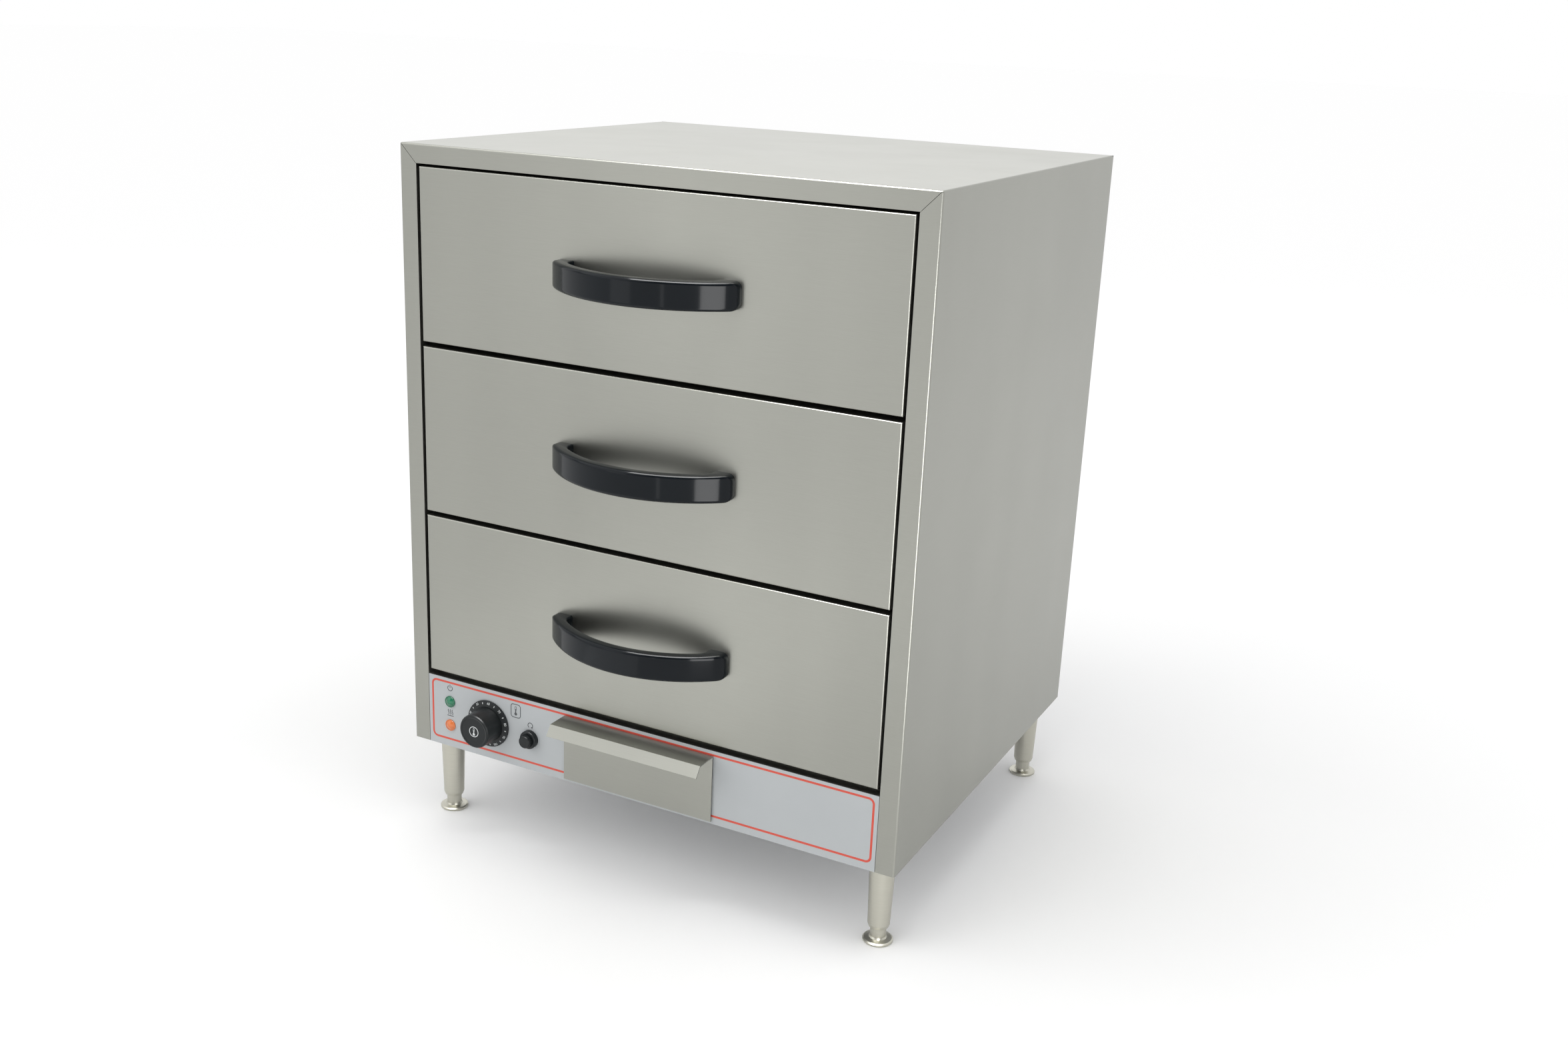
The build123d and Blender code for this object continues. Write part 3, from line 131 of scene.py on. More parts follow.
def joined(name, parts, sharp=30.0):
    """One mesh object from several (points, faces) pairs."""
    points, faces, start = [], [], 0
    for part_points, part_faces in parts:
        points.append(np.asarray(part_points))
        faces += [[index + start for index in face] for face in part_faces]
        start += len(part_points)
    return mesh_piece(name, np.concatenate(points), faces, sharp)


def stacked(rings):
    """Rings of (rings, points, 3), each closed and skinned to the next, with flat caps at the ends."""
    return rings.reshape(-1, 3), grid_faces(*rings.shape[:2], close_columns=True, cap_ends=True)


def flat_ring(x, y, z):
    """A ring in a plane of constant y, from arrays of x and z."""
    return np.stack([x, np.full(len(x), y), z], -1)


def turned(profile, centre, axis, steps):
    """A profile of (radius, distance along the axis) turned once round the axis.

    Point = centre + axis * distance + radius * (cos t * side + sin t * up), t round the circle.
    """
    profile = np.asarray(profile, float)
    axis = np.asarray(axis, float)
    side = np.cross(axis, (0.0, 0.0, 1.0))
    if np.linalg.norm(side) < 0.5:
        side = np.array((1.0, 0.0, 0.0))
    side /= np.linalg.norm(side)
    up = np.cross(side, axis)
    t = np.linspace(0, 2 * np.pi, steps, endpoint=False)
    ring = np.cos(t)[:, None] * side + np.sin(t)[:, None] * up
    return stacked(
        np.asarray(centre, float)
        + profile[:, 1][:, None, None] * axis
        + profile[:, 0][:, None, None] * ring[None]
    )


def rounded_rectangle(width, height, radius, steps=8):
    """Points round a rectangle whose corners are quarter circles, anticlockwise from the right."""
    turn = np.linspace(0, np.pi / 2, steps)
    corners = []
    for quarter, (sx, sz) in enumerate(((1, 1), (-1, 1), (-1, -1), (1, -1))):
        angle = turn + quarter * np.pi / 2
        centre = np.array((sx * (width / 2 - radius), sz * (height / 2 - radius)))
        corners.append(centre + radius * np.stack([np.cos(angle), np.sin(angle)], -1))
    return np.concatenate(corners)


def printed_line(path, width, y, proud, closed):
    """A thin printed line on a plane that faces -Y: a flat rectangular section along a path.

    path holds (x, z) points; the section reaches half the width to each side of the path,
    from y to y - proud.
    """
    path = np.asarray(path, float)
    if closed:
        before, after = np.roll(path, 1, 0), np.roll(path, -1, 0)
    else:
        before = np.concatenate([path[:1], path[:-1]])
        after = np.concatenate([path[1:], path[-1:]])
    along = after - before
    along /= np.linalg.norm(along, axis=1)[:, None]
    normal = np.stack([-along[:, 1], along[:, 0]], -1)
    inner, outer = path - normal * width / 2, path + normal * width / 2
    section = ((inner, y), (outer, y), (outer, y - proud), (inner, y - proud))
    points = np.stack([flat_ring(flat[:, 0], depth, flat[:, 1]) for flat, depth in section], 1)
    faces = grid_faces(len(path), 4, close_rows=closed, close_columns=True, cap_ends=not closed)
    return points.reshape(-1, 3), faces


def printed_patch(outline, y, proud):
    """A thin printed patch on a plane that faces -Y: a closed (x, z) outline from y to y - proud."""
    outline = np.asarray(outline, float)
    return stacked(np.stack([flat_ring(outline[:, 0], depth, outline[:, 1]) for depth in (y, y - proud)]))


def circle_path(x, z, radius, start=0.0, end=360.0, steps=32, closed=True):
    """(x, z) points on a circle or an arc; angles are degrees, anticlockwise from +x."""
    t = np.linspace(math.radians(start), math.radians(end), steps, endpoint=not closed)
    return np.stack([x + radius * np.cos(t), z + radius * np.sin(t)], -1)


# Materials
def socket_group(name, inputs, outputs):
    """An empty shader node group with float inputs {name: default} and named outputs {name: type}."""
    group = bpy.data.node_groups.new(name, "ShaderNodeTree")
    for label, default in inputs.items():
        socket = group.interface.new_socket(name=label, in_out="INPUT", socket_type="NodeSocketFloat")
        socket.default_value = default
    for label, kind in outputs.items():
        group.interface.new_socket(name=label, in_out="OUTPUT", socket_type=kind)
    return group, group.nodes.new("NodeGroupInput"), group.nodes.new("NodeGroupOutput")


def noise(nodes, scale, detail, roughness=0.5):
    """A noise texture node with its three constants set."""
    node = nodes.new("ShaderNodeTexNoise")
    node.inputs["Scale"].default_value = scale
    node.inputs["Detail"].default_value = detail
    node.inputs["Roughness"].default_value = roughness
    return node


def math_node(nodes, operation, b=None, c=None):
    """A Math node; b and c are its second and third numbers, where they aren't linked."""
    node = nodes.new("ShaderNodeMath")
    node.operation = operation
    for socket, value in zip(node.inputs[1:], (b, c)):
        if value is not None:
            socket.default_value = value
    return node


def brushed_grain():
    """Drawn-out grain: fine streaks along the grain, broad soft bands across it and a cloudy haze.

    Streaks and bands are noise on Object coordinates squeezed along the grain, so a streak is long
    and thin. Outputs: Streaks and Bands from 0 to 1, Height for a bump, Haze for roughness.
    """
    inputs = {"Along X": 45.0, "Along Y": 45.0, "Along Z": 2600.0, "Band Width": 11.0}
    outputs = {
        "Streaks": "NodeSocketFloat",
        "Bands": "NodeSocketFloat",
        "Height": "NodeSocketFloat",
        "Haze": "NodeSocketFloat",
    }
    group, source, sink = socket_group("brushed grain", inputs, outputs)
    nodes, links = group.nodes, group.links
    place = nodes.new("ShaderNodeTexCoord")
    axes = nodes.new("ShaderNodeCombineXYZ")
    for axis in "XYZ":
        links.new(source.outputs["Along " + axis], axes.inputs[axis])
    squeezed = nodes.new("ShaderNodeVectorMath")
    squeezed.operation = "MULTIPLY"
    links.new(place.outputs["Object"], squeezed.inputs[0])
    links.new(axes.outputs[0], squeezed.inputs[1])
    fine = noise(nodes, 1.0, 2.0, 0.6)
    links.new(squeezed.outputs[0], fine.inputs["Vector"])
    contrast = nodes.new("ShaderNodeMapRange")
    contrast.inputs["From Min"].default_value = 0.3
    contrast.inputs["From Max"].default_value = 0.7
    links.new(fine.outputs["Fac"], contrast.inputs["Value"])
    band_axes = nodes.new("ShaderNodeCombineXYZ")
    links.new(source.outputs["Band Width"], band_axes.inputs["X"])
    links.new(source.outputs["Band Width"], band_axes.inputs["Y"])
    band_axes.inputs["Z"].default_value = 0.7
    banded = nodes.new("ShaderNodeVectorMath")
    banded.operation = "MULTIPLY"
    links.new(place.outputs["Object"], banded.inputs[0])
    links.new(band_axes.outputs[0], banded.inputs[1])
    bands = noise(nodes, 1.0, 1.0)
    links.new(banded.outputs[0], bands.inputs["Vector"])
    haze = noise(nodes, 9.0, 3.0)
    links.new(place.outputs["Object"], haze.inputs["Vector"])
    links.new(contrast.outputs[0], sink.inputs["Streaks"])
    links.new(bands.outputs["Fac"], sink.inputs["Bands"])
    links.new(fine.outputs["Fac"], sink.inputs["Height"])
    links.new(haze.outputs["Fac"], sink.inputs["Haze"])
    return group


def fine_speckle():
    """Moulded or sprayed surface: small even grain and slow drift in tone, both from 0 to 1."""
    inputs = {"Grain Scale": 2500.0, "Drift Scale": 14.0}
    outputs = {"Grain": "NodeSocketFloat", "Drift": "NodeSocketFloat"}
    group, source, sink = socket_group("fine speckle", inputs, outputs)
    nodes, links = group.nodes, group.links
    place = nodes.new("ShaderNodeTexCoord")
    for label, detail in (("Grain", 2.0), ("Drift", 3.0)):
        node = noise(nodes, 1.0, detail)
        links.new(place.outputs["Object"], node.inputs["Vector"])
        links.new(source.outputs[label + " Scale"], node.inputs["Scale"])
        links.new(node.outputs["Fac"], sink.inputs[label])
    return group


GRAIN = brushed_grain()
SPECKLE = fine_speckle()
STREAK_SHARE = 0.22
METAL_BUMP = 0.25
GRAIN_DEPTH = 0.00001


def new_material(name):
    """A new material with its node tree, links and Principled shader."""
    material = bpy.data.materials.new(name)
    material.use_nodes = True
    nodes, links = material.node_tree.nodes, material.node_tree.links
    return material, nodes, links, nodes["Principled BSDF"]


def placed_group(nodes, group, **values):
    """A group node in a material, its inputs set by name, with _ for a space."""
    node = nodes.new("ShaderNodeGroup")
    node.node_tree = group
    for label, value in values.items():
        node.inputs[label.replace("_", " ")].default_value = value
    return node


def tone(nodes, links, factor, dark, light):
    """A colour between dark and light by a factor from 0 to 1."""
    mix = nodes.new("ShaderNodeMix")
    mix.data_type = "RGBA"
    mix.inputs["A"].default_value = (*dark, 1)
    mix.inputs["B"].default_value = (*light, 1)
    links.new(factor, mix.inputs["Factor"])
    return mix.outputs["Result"]


def spread(nodes, links, value, low, high):
    """value from 0 to 1 mapped to low..high."""
    node = nodes.new("ShaderNodeMapRange")
    node.inputs["To Min"].default_value = low
    node.inputs["To Max"].default_value = high
    links.new(value, node.inputs["Value"])
    return node.outputs["Result"]


def bump(nodes, links, height, shader, strength, distance):
    """Feeds a height from 0 to 1 to the shader's normal."""
    node = nodes.new("ShaderNodeBump")
    node.inputs["Strength"].default_value = strength
    node.inputs["Distance"].default_value = distance
    links.new(height, node.inputs["Height"])
    links.new(node.outputs["Normal"], shader.inputs["Normal"])


def brushed_metal(name, dark, light, roughness, grain=(45.0, 45.0, 2600.0)):
    """Brushed sheet metal: tone follows streaks and broad bands, roughness follows haze."""
    material, nodes, links, shader = new_material(name)
    shader.inputs["Metallic"].default_value = 1.0
    group = placed_group(nodes, GRAIN, Along_X=grain[0], Along_Y=grain[1], Along_Z=grain[2])
    mixed = math_node(nodes, "MULTIPLY_ADD", b=STREAK_SHARE)
    links.new(group.outputs["Streaks"], mixed.inputs[0])
    shifted = math_node(nodes, "MULTIPLY", b=1.0 - STREAK_SHARE)
    links.new(group.outputs["Bands"], shifted.inputs[0])
    links.new(shifted.outputs[0], mixed.inputs[2])
    links.new(tone(nodes, links, mixed.outputs[0], dark, light), shader.inputs["Base Color"])
    rough = spread(nodes, links, group.outputs["Haze"], roughness[0], roughness[1])
    links.new(rough, shader.inputs["Roughness"])
    bump(nodes, links, group.outputs["Height"], shader, METAL_BUMP, GRAIN_DEPTH)
    return material


def plastic(name, dark, light, roughness, ior, grain=2500.0, depth=GRAIN_DEPTH, strength=0.2):
    """Moulded plastic: faint mottling in tone and roughness, fine grain in the bump."""
    material, nodes, links, shader = new_material(name)
    shader.inputs["IOR"].default_value = ior
    group = placed_group(nodes, SPECKLE, Grain_Scale=grain)
    links.new(tone(nodes, links, group.outputs["Drift"], dark, light), shader.inputs["Base Color"])
    rough = spread(nodes, links, group.outputs["Drift"], roughness[0], roughness[1])
    links.new(rough, shader.inputs["Roughness"])
    bump(nodes, links, group.outputs["Grain"], shader, strength, depth)
    return material


steel = brushed_metal("satin_steel", (0.298, 0.300, 0.272), (0.350, 0.352, 0.319), (0.30, 0.38))
liner = brushed_metal("liner_steel", (0.42, 0.42, 0.40), (0.55, 0.55, 0.53), (0.28, 0.4))
slide_steel = brushed_metal("zinc_steel", (0.42, 0.43, 0.44), (0.56, 0.57, 0.58), (0.24, 0.36))
leg_steel = brushed_metal(
    "leg_steel", (0.44, 0.43, 0.375), (0.56, 0.55, 0.48), (0.28, 0.36), grain=(40.0, 40.0, 2500.0)
)
handle_black = plastic("black_gloss", (0.0015, 0.003, 0.005), (0.003, 0.006, 0.009), (0.09, 0.13), 1.3)
control_black = plastic("black_plastic", (0.006, 0.008, 0.009), (0.012, 0.015, 0.016), (0.3, 0.4), 1.36)
film = plastic("overlay_film", (0.40, 0.42, 0.43), (0.44, 0.46, 0.47), (0.4, 0.5), 1.4)
red_ink = plastic("red_ink", (0.56, 0.07, 0.045), (0.62, 0.09, 0.06), (0.4, 0.5), 1.4)
dark_ink = plastic("dark_ink", (0.06, 0.065, 0.07), (0.09, 0.095, 0.10), (0.4, 0.5), 1.4)
pale_ink = plastic("pale_ink", (0.55, 0.58, 0.58), (0.66, 0.68, 0.68), (0.4, 0.5), 1.4)


def lens(name, deep, bright, glow):
    """Tinted lens: deep colour at the rim, brighter towards the middle, a clear coat on top."""
    material, nodes, links, shader = new_material(name)
    facing = nodes.new("ShaderNodeLayerWeight")
    facing.inputs["Blend"].default_value = 0.4
    colour = tone(nodes, links, facing.outputs["Facing"], bright, deep)
    links.new(colour, shader.inputs["Base Color"])
    links.new(colour, shader.inputs["Emission Color"])
    shader.inputs["Emission Strength"].default_value = glow
    shader.inputs["Roughness"].default_value = 0.12
    shader.inputs["IOR"].default_value = 1.5
    shader.inputs["Coat Weight"].default_value = 0.6
    shader.inputs["Coat Roughness"].default_value = 0.05
    group = placed_group(nodes, SPECKLE, Grain_Scale=900.0)
    bump(nodes, links, group.outputs["Grain"], shader, 0.3, 0.00004)
    return material


green_lens = lens("green_lens", (0.0, 0.03, 0.015), (0.0, 0.17, 0.075), 0.1)
orange_lens = lens("orange_lens", (0.25, 0.05, 0.01), (0.66, 0.17, 0.035), 0.18)

wool = plastic(
    "mineral_wool", (0.40, 0.33, 0.16), (0.62, 0.54, 0.30), (0.85, 0.95), 1.3, 500.0, 0.0008, 0.8
)
copper = brushed_metal("copper", (0.62, 0.30, 0.18), (0.74, 0.42, 0.28), (0.25, 0.35))
sheath = brushed_metal(
    "element_sheath", (0.12, 0.11, 0.10), (0.20, 0.19, 0.17), (0.4, 0.55), grain=(60.0, 300.0, 60.0)
)
polished = brushed_metal("polished_balls", (0.6, 0.6, 0.6), (0.7, 0.7, 0.7), (0.08, 0.14))

SLOT_MATERIALS = {
    "satin_steel": steel,
    "liner_steel": liner,
    "zinc_steel": slide_steel,
    "leg_steel": leg_steel,
    "black_gloss": handle_black,
    "black_plastic": control_black,
    "overlay_film": film,
    "green_lens": green_lens,
    "orange_lens": orange_lens,
    "mineral_wool": wool,
    "copper": copper,
    "element_sheath": sheath,
}


def clothe(piece, material):
    """Leaves one material on a piece."""
    piece.data.materials.clear()
    piece.data.materials.append(material)


for part in frame["record"]["subparts"]:
    clothe(frame["nodes"][part["node"]], SLOT_MATERIALS[part["material_slot"]])


def settle(piece, material, body):
    """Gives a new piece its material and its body."""
    clothe(piece, material)
    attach(piece, body)


# Bow handles: a moulded bow between two feet, its edges eased all round
HANDLE_LENGTH = 0.204
HANDLE_REACH = 0.0515
HANDLE_HEIGHT = 0.027
HANDLE_THICKNESS = 0.011
HANDLE_FOOT = 0.022
HANDLE_END_WALL = 0.006
HANDLE_WALL_FLAT = 0.0012
HANDLE_END_CUT = 0.0093
HANDLE_GRIP_CORNER = 0.005
HANDLE_CORNER = 0.008
HANDLE_EDGE = 0.0034
HANDLE_INNER_EDGE = 0.0020
HANDLE_END_SOFTNESS = 0.0005
HANDLE_SHARP = 40.0
BOW_RISE = HANDLE_REACH - HANDLE_END_WALL
BOW_RADIUS = ((HANDLE_LENGTH / 2) ** 2 + BOW_RISE**2) / (2 * BOW_RISE)
BOW_CENTRE = HANDLE_REACH - BOW_RADIUS


def offset_outline(outline, distance):
    """An open (x, y) outline moved to its left by a distance along its mitred normals."""
    steps = np.diff(outline, axis=0)
    steps /= np.linalg.norm(steps, axis=1)[:, None]
    normals = np.stack([-steps[:, 1], steps[:, 0]], -1)
    before = np.concatenate([normals[:1], normals])
    after = np.concatenate([normals, normals[-1:]])
    middle = before + after
    middle /= np.linalg.norm(middle, axis=1)[:, None]
    stretch = np.clip((middle * after).sum(1), 0.5, 1.0)
    return outline + middle * (distance / stretch)[:, None]


def corner_blend(start, corner, end, steps):
    """(1 - t)^2 * start + 2 t (1 - t) * corner + t^2 * end for t from 0, with t = 1 left out."""
    t = np.linspace(0, 1, steps, endpoint=False)[:, None]
    return (1 - t) ** 2 * np.array(start) + 2 * t * (1 - t) * np.array(corner) + t**2 * np.array(end)


def bow_outline(corner_steps=12, arc_steps=48):
    """The outer line of the bow in plan: end wall, rounded corner, arc, corner, end wall.

    The arc is the circle through the two end walls' tops and the point of full reach; each corner
    blends the wall into the arc. Returned as (x, reach) from left to right.
    """
    half = HANDLE_LENGTH / 2
    cut = half - HANDLE_END_CUT
    arc_x = np.linspace(-cut, cut, arc_steps)
    arc_y = BOW_CENTRE + np.sqrt(BOW_RADIUS**2 - arc_x**2)
    slope = cut / math.sqrt(BOW_RADIUS**2 - cut**2)
    corner = (-half, arc_y[0] - HANDLE_END_CUT * slope)
    blend = corner_blend((-half, HANDLE_WALL_FLAT), corner, (arc_x[0], arc_y[0]), corner_steps)
    left = np.concatenate([[(-half, 0.0)], blend])
    return np.concatenate([left, np.stack([arc_x, arc_y], -1), left[::-1] * (-1, 1)])


def grip_outline(wall_steps=4, corner_steps=8, arc_steps=36):
    """The inner line of the bow in plan, from the right foot round the grip to the left foot."""
    inner = BOW_RADIUS - HANDLE_THICKNESS
    half = HANDLE_LENGTH / 2 - HANDLE_FOOT
    arc_x = np.linspace(half - HANDLE_GRIP_CORNER, HANDLE_GRIP_CORNER - half, arc_steps)
    arc_y = BOW_CENTRE + np.sqrt(inner**2 - arc_x**2)
    wall = BOW_CENTRE + math.sqrt(inner**2 - half**2)
    start = wall - HANDLE_GRIP_CORNER
    blend = corner_blend((half, start), (half, wall), (arc_x[0], arc_y[0]), corner_steps)
    walls = np.stack([np.full(wall_steps, half), np.linspace(0, start, wall_steps, False)], -1)
    right = np.concatenate([walls, blend])
    return np.concatenate([right, np.stack([arc_x, arc_y], -1), right[::-1] * (-1, 1)])


def quarter_drop(distance, radius):
    """How far a quarter circle has fallen away at a distance into it."""
    return radius - math.sqrt(max(0.0, radius**2 - max(0.0, distance) ** 2))


def bow_heights(half):
    """Heights of the layers: the middle, the elevation corners and the eased edges, both ways."""
    top = half - HANDLE_EDGE + HANDLE_EDGE * np.sin(np.linspace(0, np.pi / 2, 7))
    corner = half - HANDLE_CORNER + HANDLE_CORNER * np.sin(np.linspace(0.2, 1.15, 7))
    below_top = corner[corner < top[0] - 0.0001]
    upper = np.concatenate([[0.0, half - HANDLE_CORNER], below_top, top])
    return np.concatenate([-upper[:0:-1], upper])


def bow_handle(name, centre_z):
    """Plan outlines stacked in height.

    At each height the lines are moved in by the quarter circles of their edges, and the ends are
    held back by the quarter circle of the elevation corner: with h the length held and s the
    softness, x = sign(x) * (h - s * ln(1 + exp((h - |x|) / s))).
    """
    half = HANDLE_HEIGHT / 2
    outer_line, grip_line = bow_outline(), grip_outline()
    layers = []
    for height in bow_heights(half):
        rise = abs(height) - half
        outer = offset_outline(outer_line, -quarter_drop(rise + HANDLE_EDGE, HANDLE_EDGE))
        held = HANDLE_LENGTH / 2 - quarter_drop(rise + HANDLE_CORNER, HANDLE_CORNER)
        spare = (held - np.abs(outer[:, 0])) / HANDLE_END_SOFTNESS
        held_x = held - HANDLE_END_SOFTNESS * np.logaddexp(0.0, spare)
        outer[:, 0] = np.sign(outer[:, 0]) * held_x
        grip_drop = quarter_drop(rise + HANDLE_INNER_EDGE, HANDLE_INNER_EDGE)
        plan = np.concatenate([outer, offset_outline(grip_line, -grip_drop)])
        reach = np.clip(plan[:, 1], 0.0, HANDLE_REACH)
        layers.append(np.stack([plan[:, 0], FRONT_Y - reach, np.full(len(plan), centre_z + height)], -1))
    return mesh_piece(name, *stacked(np.stack(layers)), HANDLE_SHARP)


for drawer in DRAWERS:
    low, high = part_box("handle_" + drawer)
    bow = bow_handle("bow_handle_" + drawer, (low.z + high.z) / 2)
    settle(bow, handle_black, "drawer_" + drawer)
    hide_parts("handle_" + drawer)

# Printed overlay: red border, symbols
INK = 0.00004
LINE_WIDTH = 0.0009
OVERLAY_Y = FRONT_Y
BORDER_WIDTH = 0.0023
BORDER_HALF = 0.262
BORDER_TOP = BASE_Z + 0.0755
BORDER_BOTTOM = BASE_Z + 0.0088
BORDER_RADIUS = 0.0055
CORNER_POINTS = 8
TRAY_COVER = 0.0045
border = rounded_rectangle(2 * BORDER_HALF, BORDER_TOP - BORDER_BOTTOM, BORDER_RADIUS, CORNER_POINTS)
border = np.roll(border + (0.0, (BORDER_TOP + BORDER_BOTTOM) / 2), CORNER_POINTS, 0)

# The bottom line stops behind the tray's front, short of the opening that the tray leaves
gap_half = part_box("tray_front")[1].x - TRAY_COVER
border = np.concatenate([[(gap_half, BORDER_BOTTOM)], border, [(-gap_half, BORDER_BOTTOM)]])
red_border = joined("red_border", [printed_line(border, BORDER_WIDTH, OVERLAY_Y, INK, False)])
settle(red_border, red_ink, "cabinet")


def symbol_line(path, closed=False):
    """A line of the overlay's symbols along (x, z) points."""
    return printed_line(path, LINE_WIDTH, OVERLAY_Y, INK, closed)


# Power symbol: a broken ring with a bar in its gap
lamp_low, lamp_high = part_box("power_lamp")
LAMP_X = (lamp_low.x + lamp_high.x) / 2
POWER_Z = BASE_Z + 0.069
POWER_RADIUS = 0.0031
POWER_BAR = (0.0004, 0.0042)
symbols = [
    symbol_line(circle_path(LAMP_X, POWER_Z, POWER_RADIUS, 125, 415, 28, False)),
    symbol_line([(LAMP_X, POWER_Z + end) for end in POWER_BAR]),
]

# Heat symbol: three waves over a plate
HEAT_Z = BASE_Z + 0.041
WAVE_PITCH = 0.0026
WAVE_SWING = 0.0006
WAVE_HEIGHT = 0.0058
PLATE_HALF = 0.0042
PLATE_DROP = 0.0044
wave = np.linspace(0, 2 * np.pi, 20)
for shift in (-WAVE_PITCH, 0.0, WAVE_PITCH):
    wave_x = LAMP_X + shift + WAVE_SWING * np.sin(wave)
    wave_z = HEAT_Z + WAVE_HEIGHT * (wave / (2 * np.pi) - 0.5)
    symbols.append(symbol_line(np.stack([wave_x, wave_z], -1)))
symbols.append(symbol_line([(LAMP_X + side * PLATE_HALF, HEAT_Z - PLATE_DROP) for side in (-1, 1)]))

# Thermometer in a rounded frame
METER_X = -0.1517
METER_Z = BASE_Z + 0.0638
METER_SIZE = 0.0104
METER_FRAME = (0.0120, 0.0150, 0.0028)
symbols.append(symbol_line(rounded_rectangle(*METER_FRAME) + (METER_X, METER_Z), True))


def thermometer(x, z, y, size, proud):
    """A bulb with a stem and a hollow top, size metres tall, as patches and lines."""
    bulb = circle_path(x, z - 0.34 * size, 0.17 * size, steps=24)
    stem = rounded_rectangle(0.14 * size, 0.5 * size, 0.06 * size, 4) + (x, z - 0.05 * size)
    top = rounded_rectangle(0.17 * size, 0.42 * size, 0.08 * size, 5) + (x, z + 0.28 * size)
    return [
        printed_patch(bulb, y, proud),
        printed_patch(stem, y, proud * 0.98),
        printed_line(top, 0.05 * size, y, proud, True),
    ]


symbols += thermometer(METER_X, METER_Z, OVERLAY_Y, METER_SIZE, INK)

# Round arrow above the reset button
ARROW_Z = RESET_Z + 0.0150
ARROW_RADIUS = 0.0030
ARROW_TIP = -40
ARROW_HEAD = np.array([(-0.0015, 0.0004), (0.0010, 0.0012), (0.0001, -0.0016)])
symbols.append(symbol_line(circle_path(RESET_X, ARROW_Z, ARROW_RADIUS, ARROW_TIP, 235, 28, False)))
tip = circle_path(RESET_X, ARROW_Z, ARROW_RADIUS, ARROW_TIP, ARROW_TIP, 1, False)
symbols.append(printed_patch(tip + ARROW_HEAD, OVERLAY_Y, 1.2 * INK))
overlay_symbols = joined("overlay_symbols", symbols)
settle(overlay_symbols, dark_ink, "cabinet")


# Dial on the knob's skirt: ticks and plain numbers, with a mark on the cap
def text_points(body, size):
    """A short text as (points, faces), centred on its own middle, in its own x and y."""
    curve = bpy.data.curves.new("dial_text", "FONT")
    curve.body = body
    curve.size = size
    curve.align_x = "CENTER"
    curve.align_y = "CENTER"
    curve.extrude = INK / 2
    holder = bpy.data.objects.new("dial_text", curve)
    mesh = bpy.data.meshes.new_from_object(holder)
    points = np.empty(len(mesh.vertices) * 3)
    mesh.vertices.foreach_get("co", points)
    faces = [list(face.vertices) for face in mesh.polygons]
    bpy.data.objects.remove(holder)
    bpy.data.curves.remove(curve)
    bpy.data.meshes.remove(mesh)
    return points.reshape(-1, 3), faces


SKIRT_FLAT_RADIUS = 0.0201
SKIRT_RADIUS = 0.0262
SKIRT_FALL = 0.0016
SKIRT_SLOPE = SKIRT_FALL / (SKIRT_RADIUS - SKIRT_FLAT_RADIUS)
DIAL_STEP = math.radians(18.75)
DIAL_PHASE = math.radians(3.5)
TICK_STEPS = range(-5, 10, 2)
NUMBER_STEPS = range(-6, 9, 2)
TICK_RADIUS = 0.0234
TICK_SINK = 0.0002
TICK = np.array([(-0.00035, -0.0009), (0.00035, -0.0009), (0.00055, 0.0009), (-0.00055, 0.0009)])
NUMBER_RADIUS = 0.0236
NUMBER_SIZE = 0.0036
MARK_RADIUS = 0.0056
MARK_WIDTH = 0.0008
MARK_SIZE = 0.0086


def on_dial(points, step, radius, reach):
    """Flat points stood radially on the knob's skirt, at a step of the dial.

    Steps run clockwise as seen from the front. At a reach from the axis the skirt lies back by
    max(0, reach - flat radius) * slope.
    """
    angle = DIAL_PHASE + step * DIAL_STEP
    cosine, sine = math.cos(angle), math.sin(angle)
    outward = points[:, 1] + radius
    across = points[:, 0] * cosine + outward * sine
    up = -points[:, 0] * sine + outward * cosine
    skirt_y = KNOB_SKIRT_Y + np.maximum(0.0, reach - SKIRT_FLAT_RADIUS) * SKIRT_SLOPE
    return np.stack([KNOB_X + across, skirt_y - points[:, 2], KNOB_Z + up], -1)


tick_points, tick_faces = stacked(
    np.stack([np.column_stack([TICK, np.full(len(TICK), depth)]) for depth in (-TICK_SINK, INK)])
)
tick_reach = TICK_RADIUS + tick_points[:, 1]
ticks = [(on_dial(tick_points, step, TICK_RADIUS, tick_reach), tick_faces) for step in TICK_STEPS]
dial_ticks = joined("dial_ticks", ticks)
settle(dial_ticks, pale_ink, "thermostat_knob")

labels = []
for step, number in zip(NUMBER_STEPS, range(30, 110, 10)):
    letters, letter_faces = text_points(str(number), NUMBER_SIZE)
    letter_reach = np.hypot(letters[:, 0], letters[:, 1] + NUMBER_RADIUS)
    letters += (0.0, 0.0, INK / 2)
    labels.append((on_dial(letters, step, NUMBER_RADIUS, letter_reach), letter_faces))
dial_numbers = joined("dial_numbers", labels)
settle(dial_numbers, pale_ink, "thermostat_knob")

mark_ring = circle_path(KNOB_X, KNOB_Z, MARK_RADIUS, steps=40)
cap_mark = [printed_line(mark_ring, MARK_WIDTH, KNOB_CAP_Y, INK, True)]
cap_mark += thermometer(KNOB_X, KNOB_Z, KNOB_CAP_Y, MARK_SIZE, INK)
knob_mark = joined("knob_mark", cap_mark)
settle(knob_mark, pale_ink, "thermostat_knob")

# Balls in the cages of the telescopic slides, one cage at the back and one at the front
BALL_RADIUS = 0.00145
BALL_PITCH = 0.0105
BALLS_A_CAGE = 14
CAGE_INSET = 0.00815
BACK_CAGE_START = 0.1462
BACK_RACE_INSET = 0.0013
FRONT_CAGE_START = 0.0062
FRONT_RACE_INSET = 0.0041


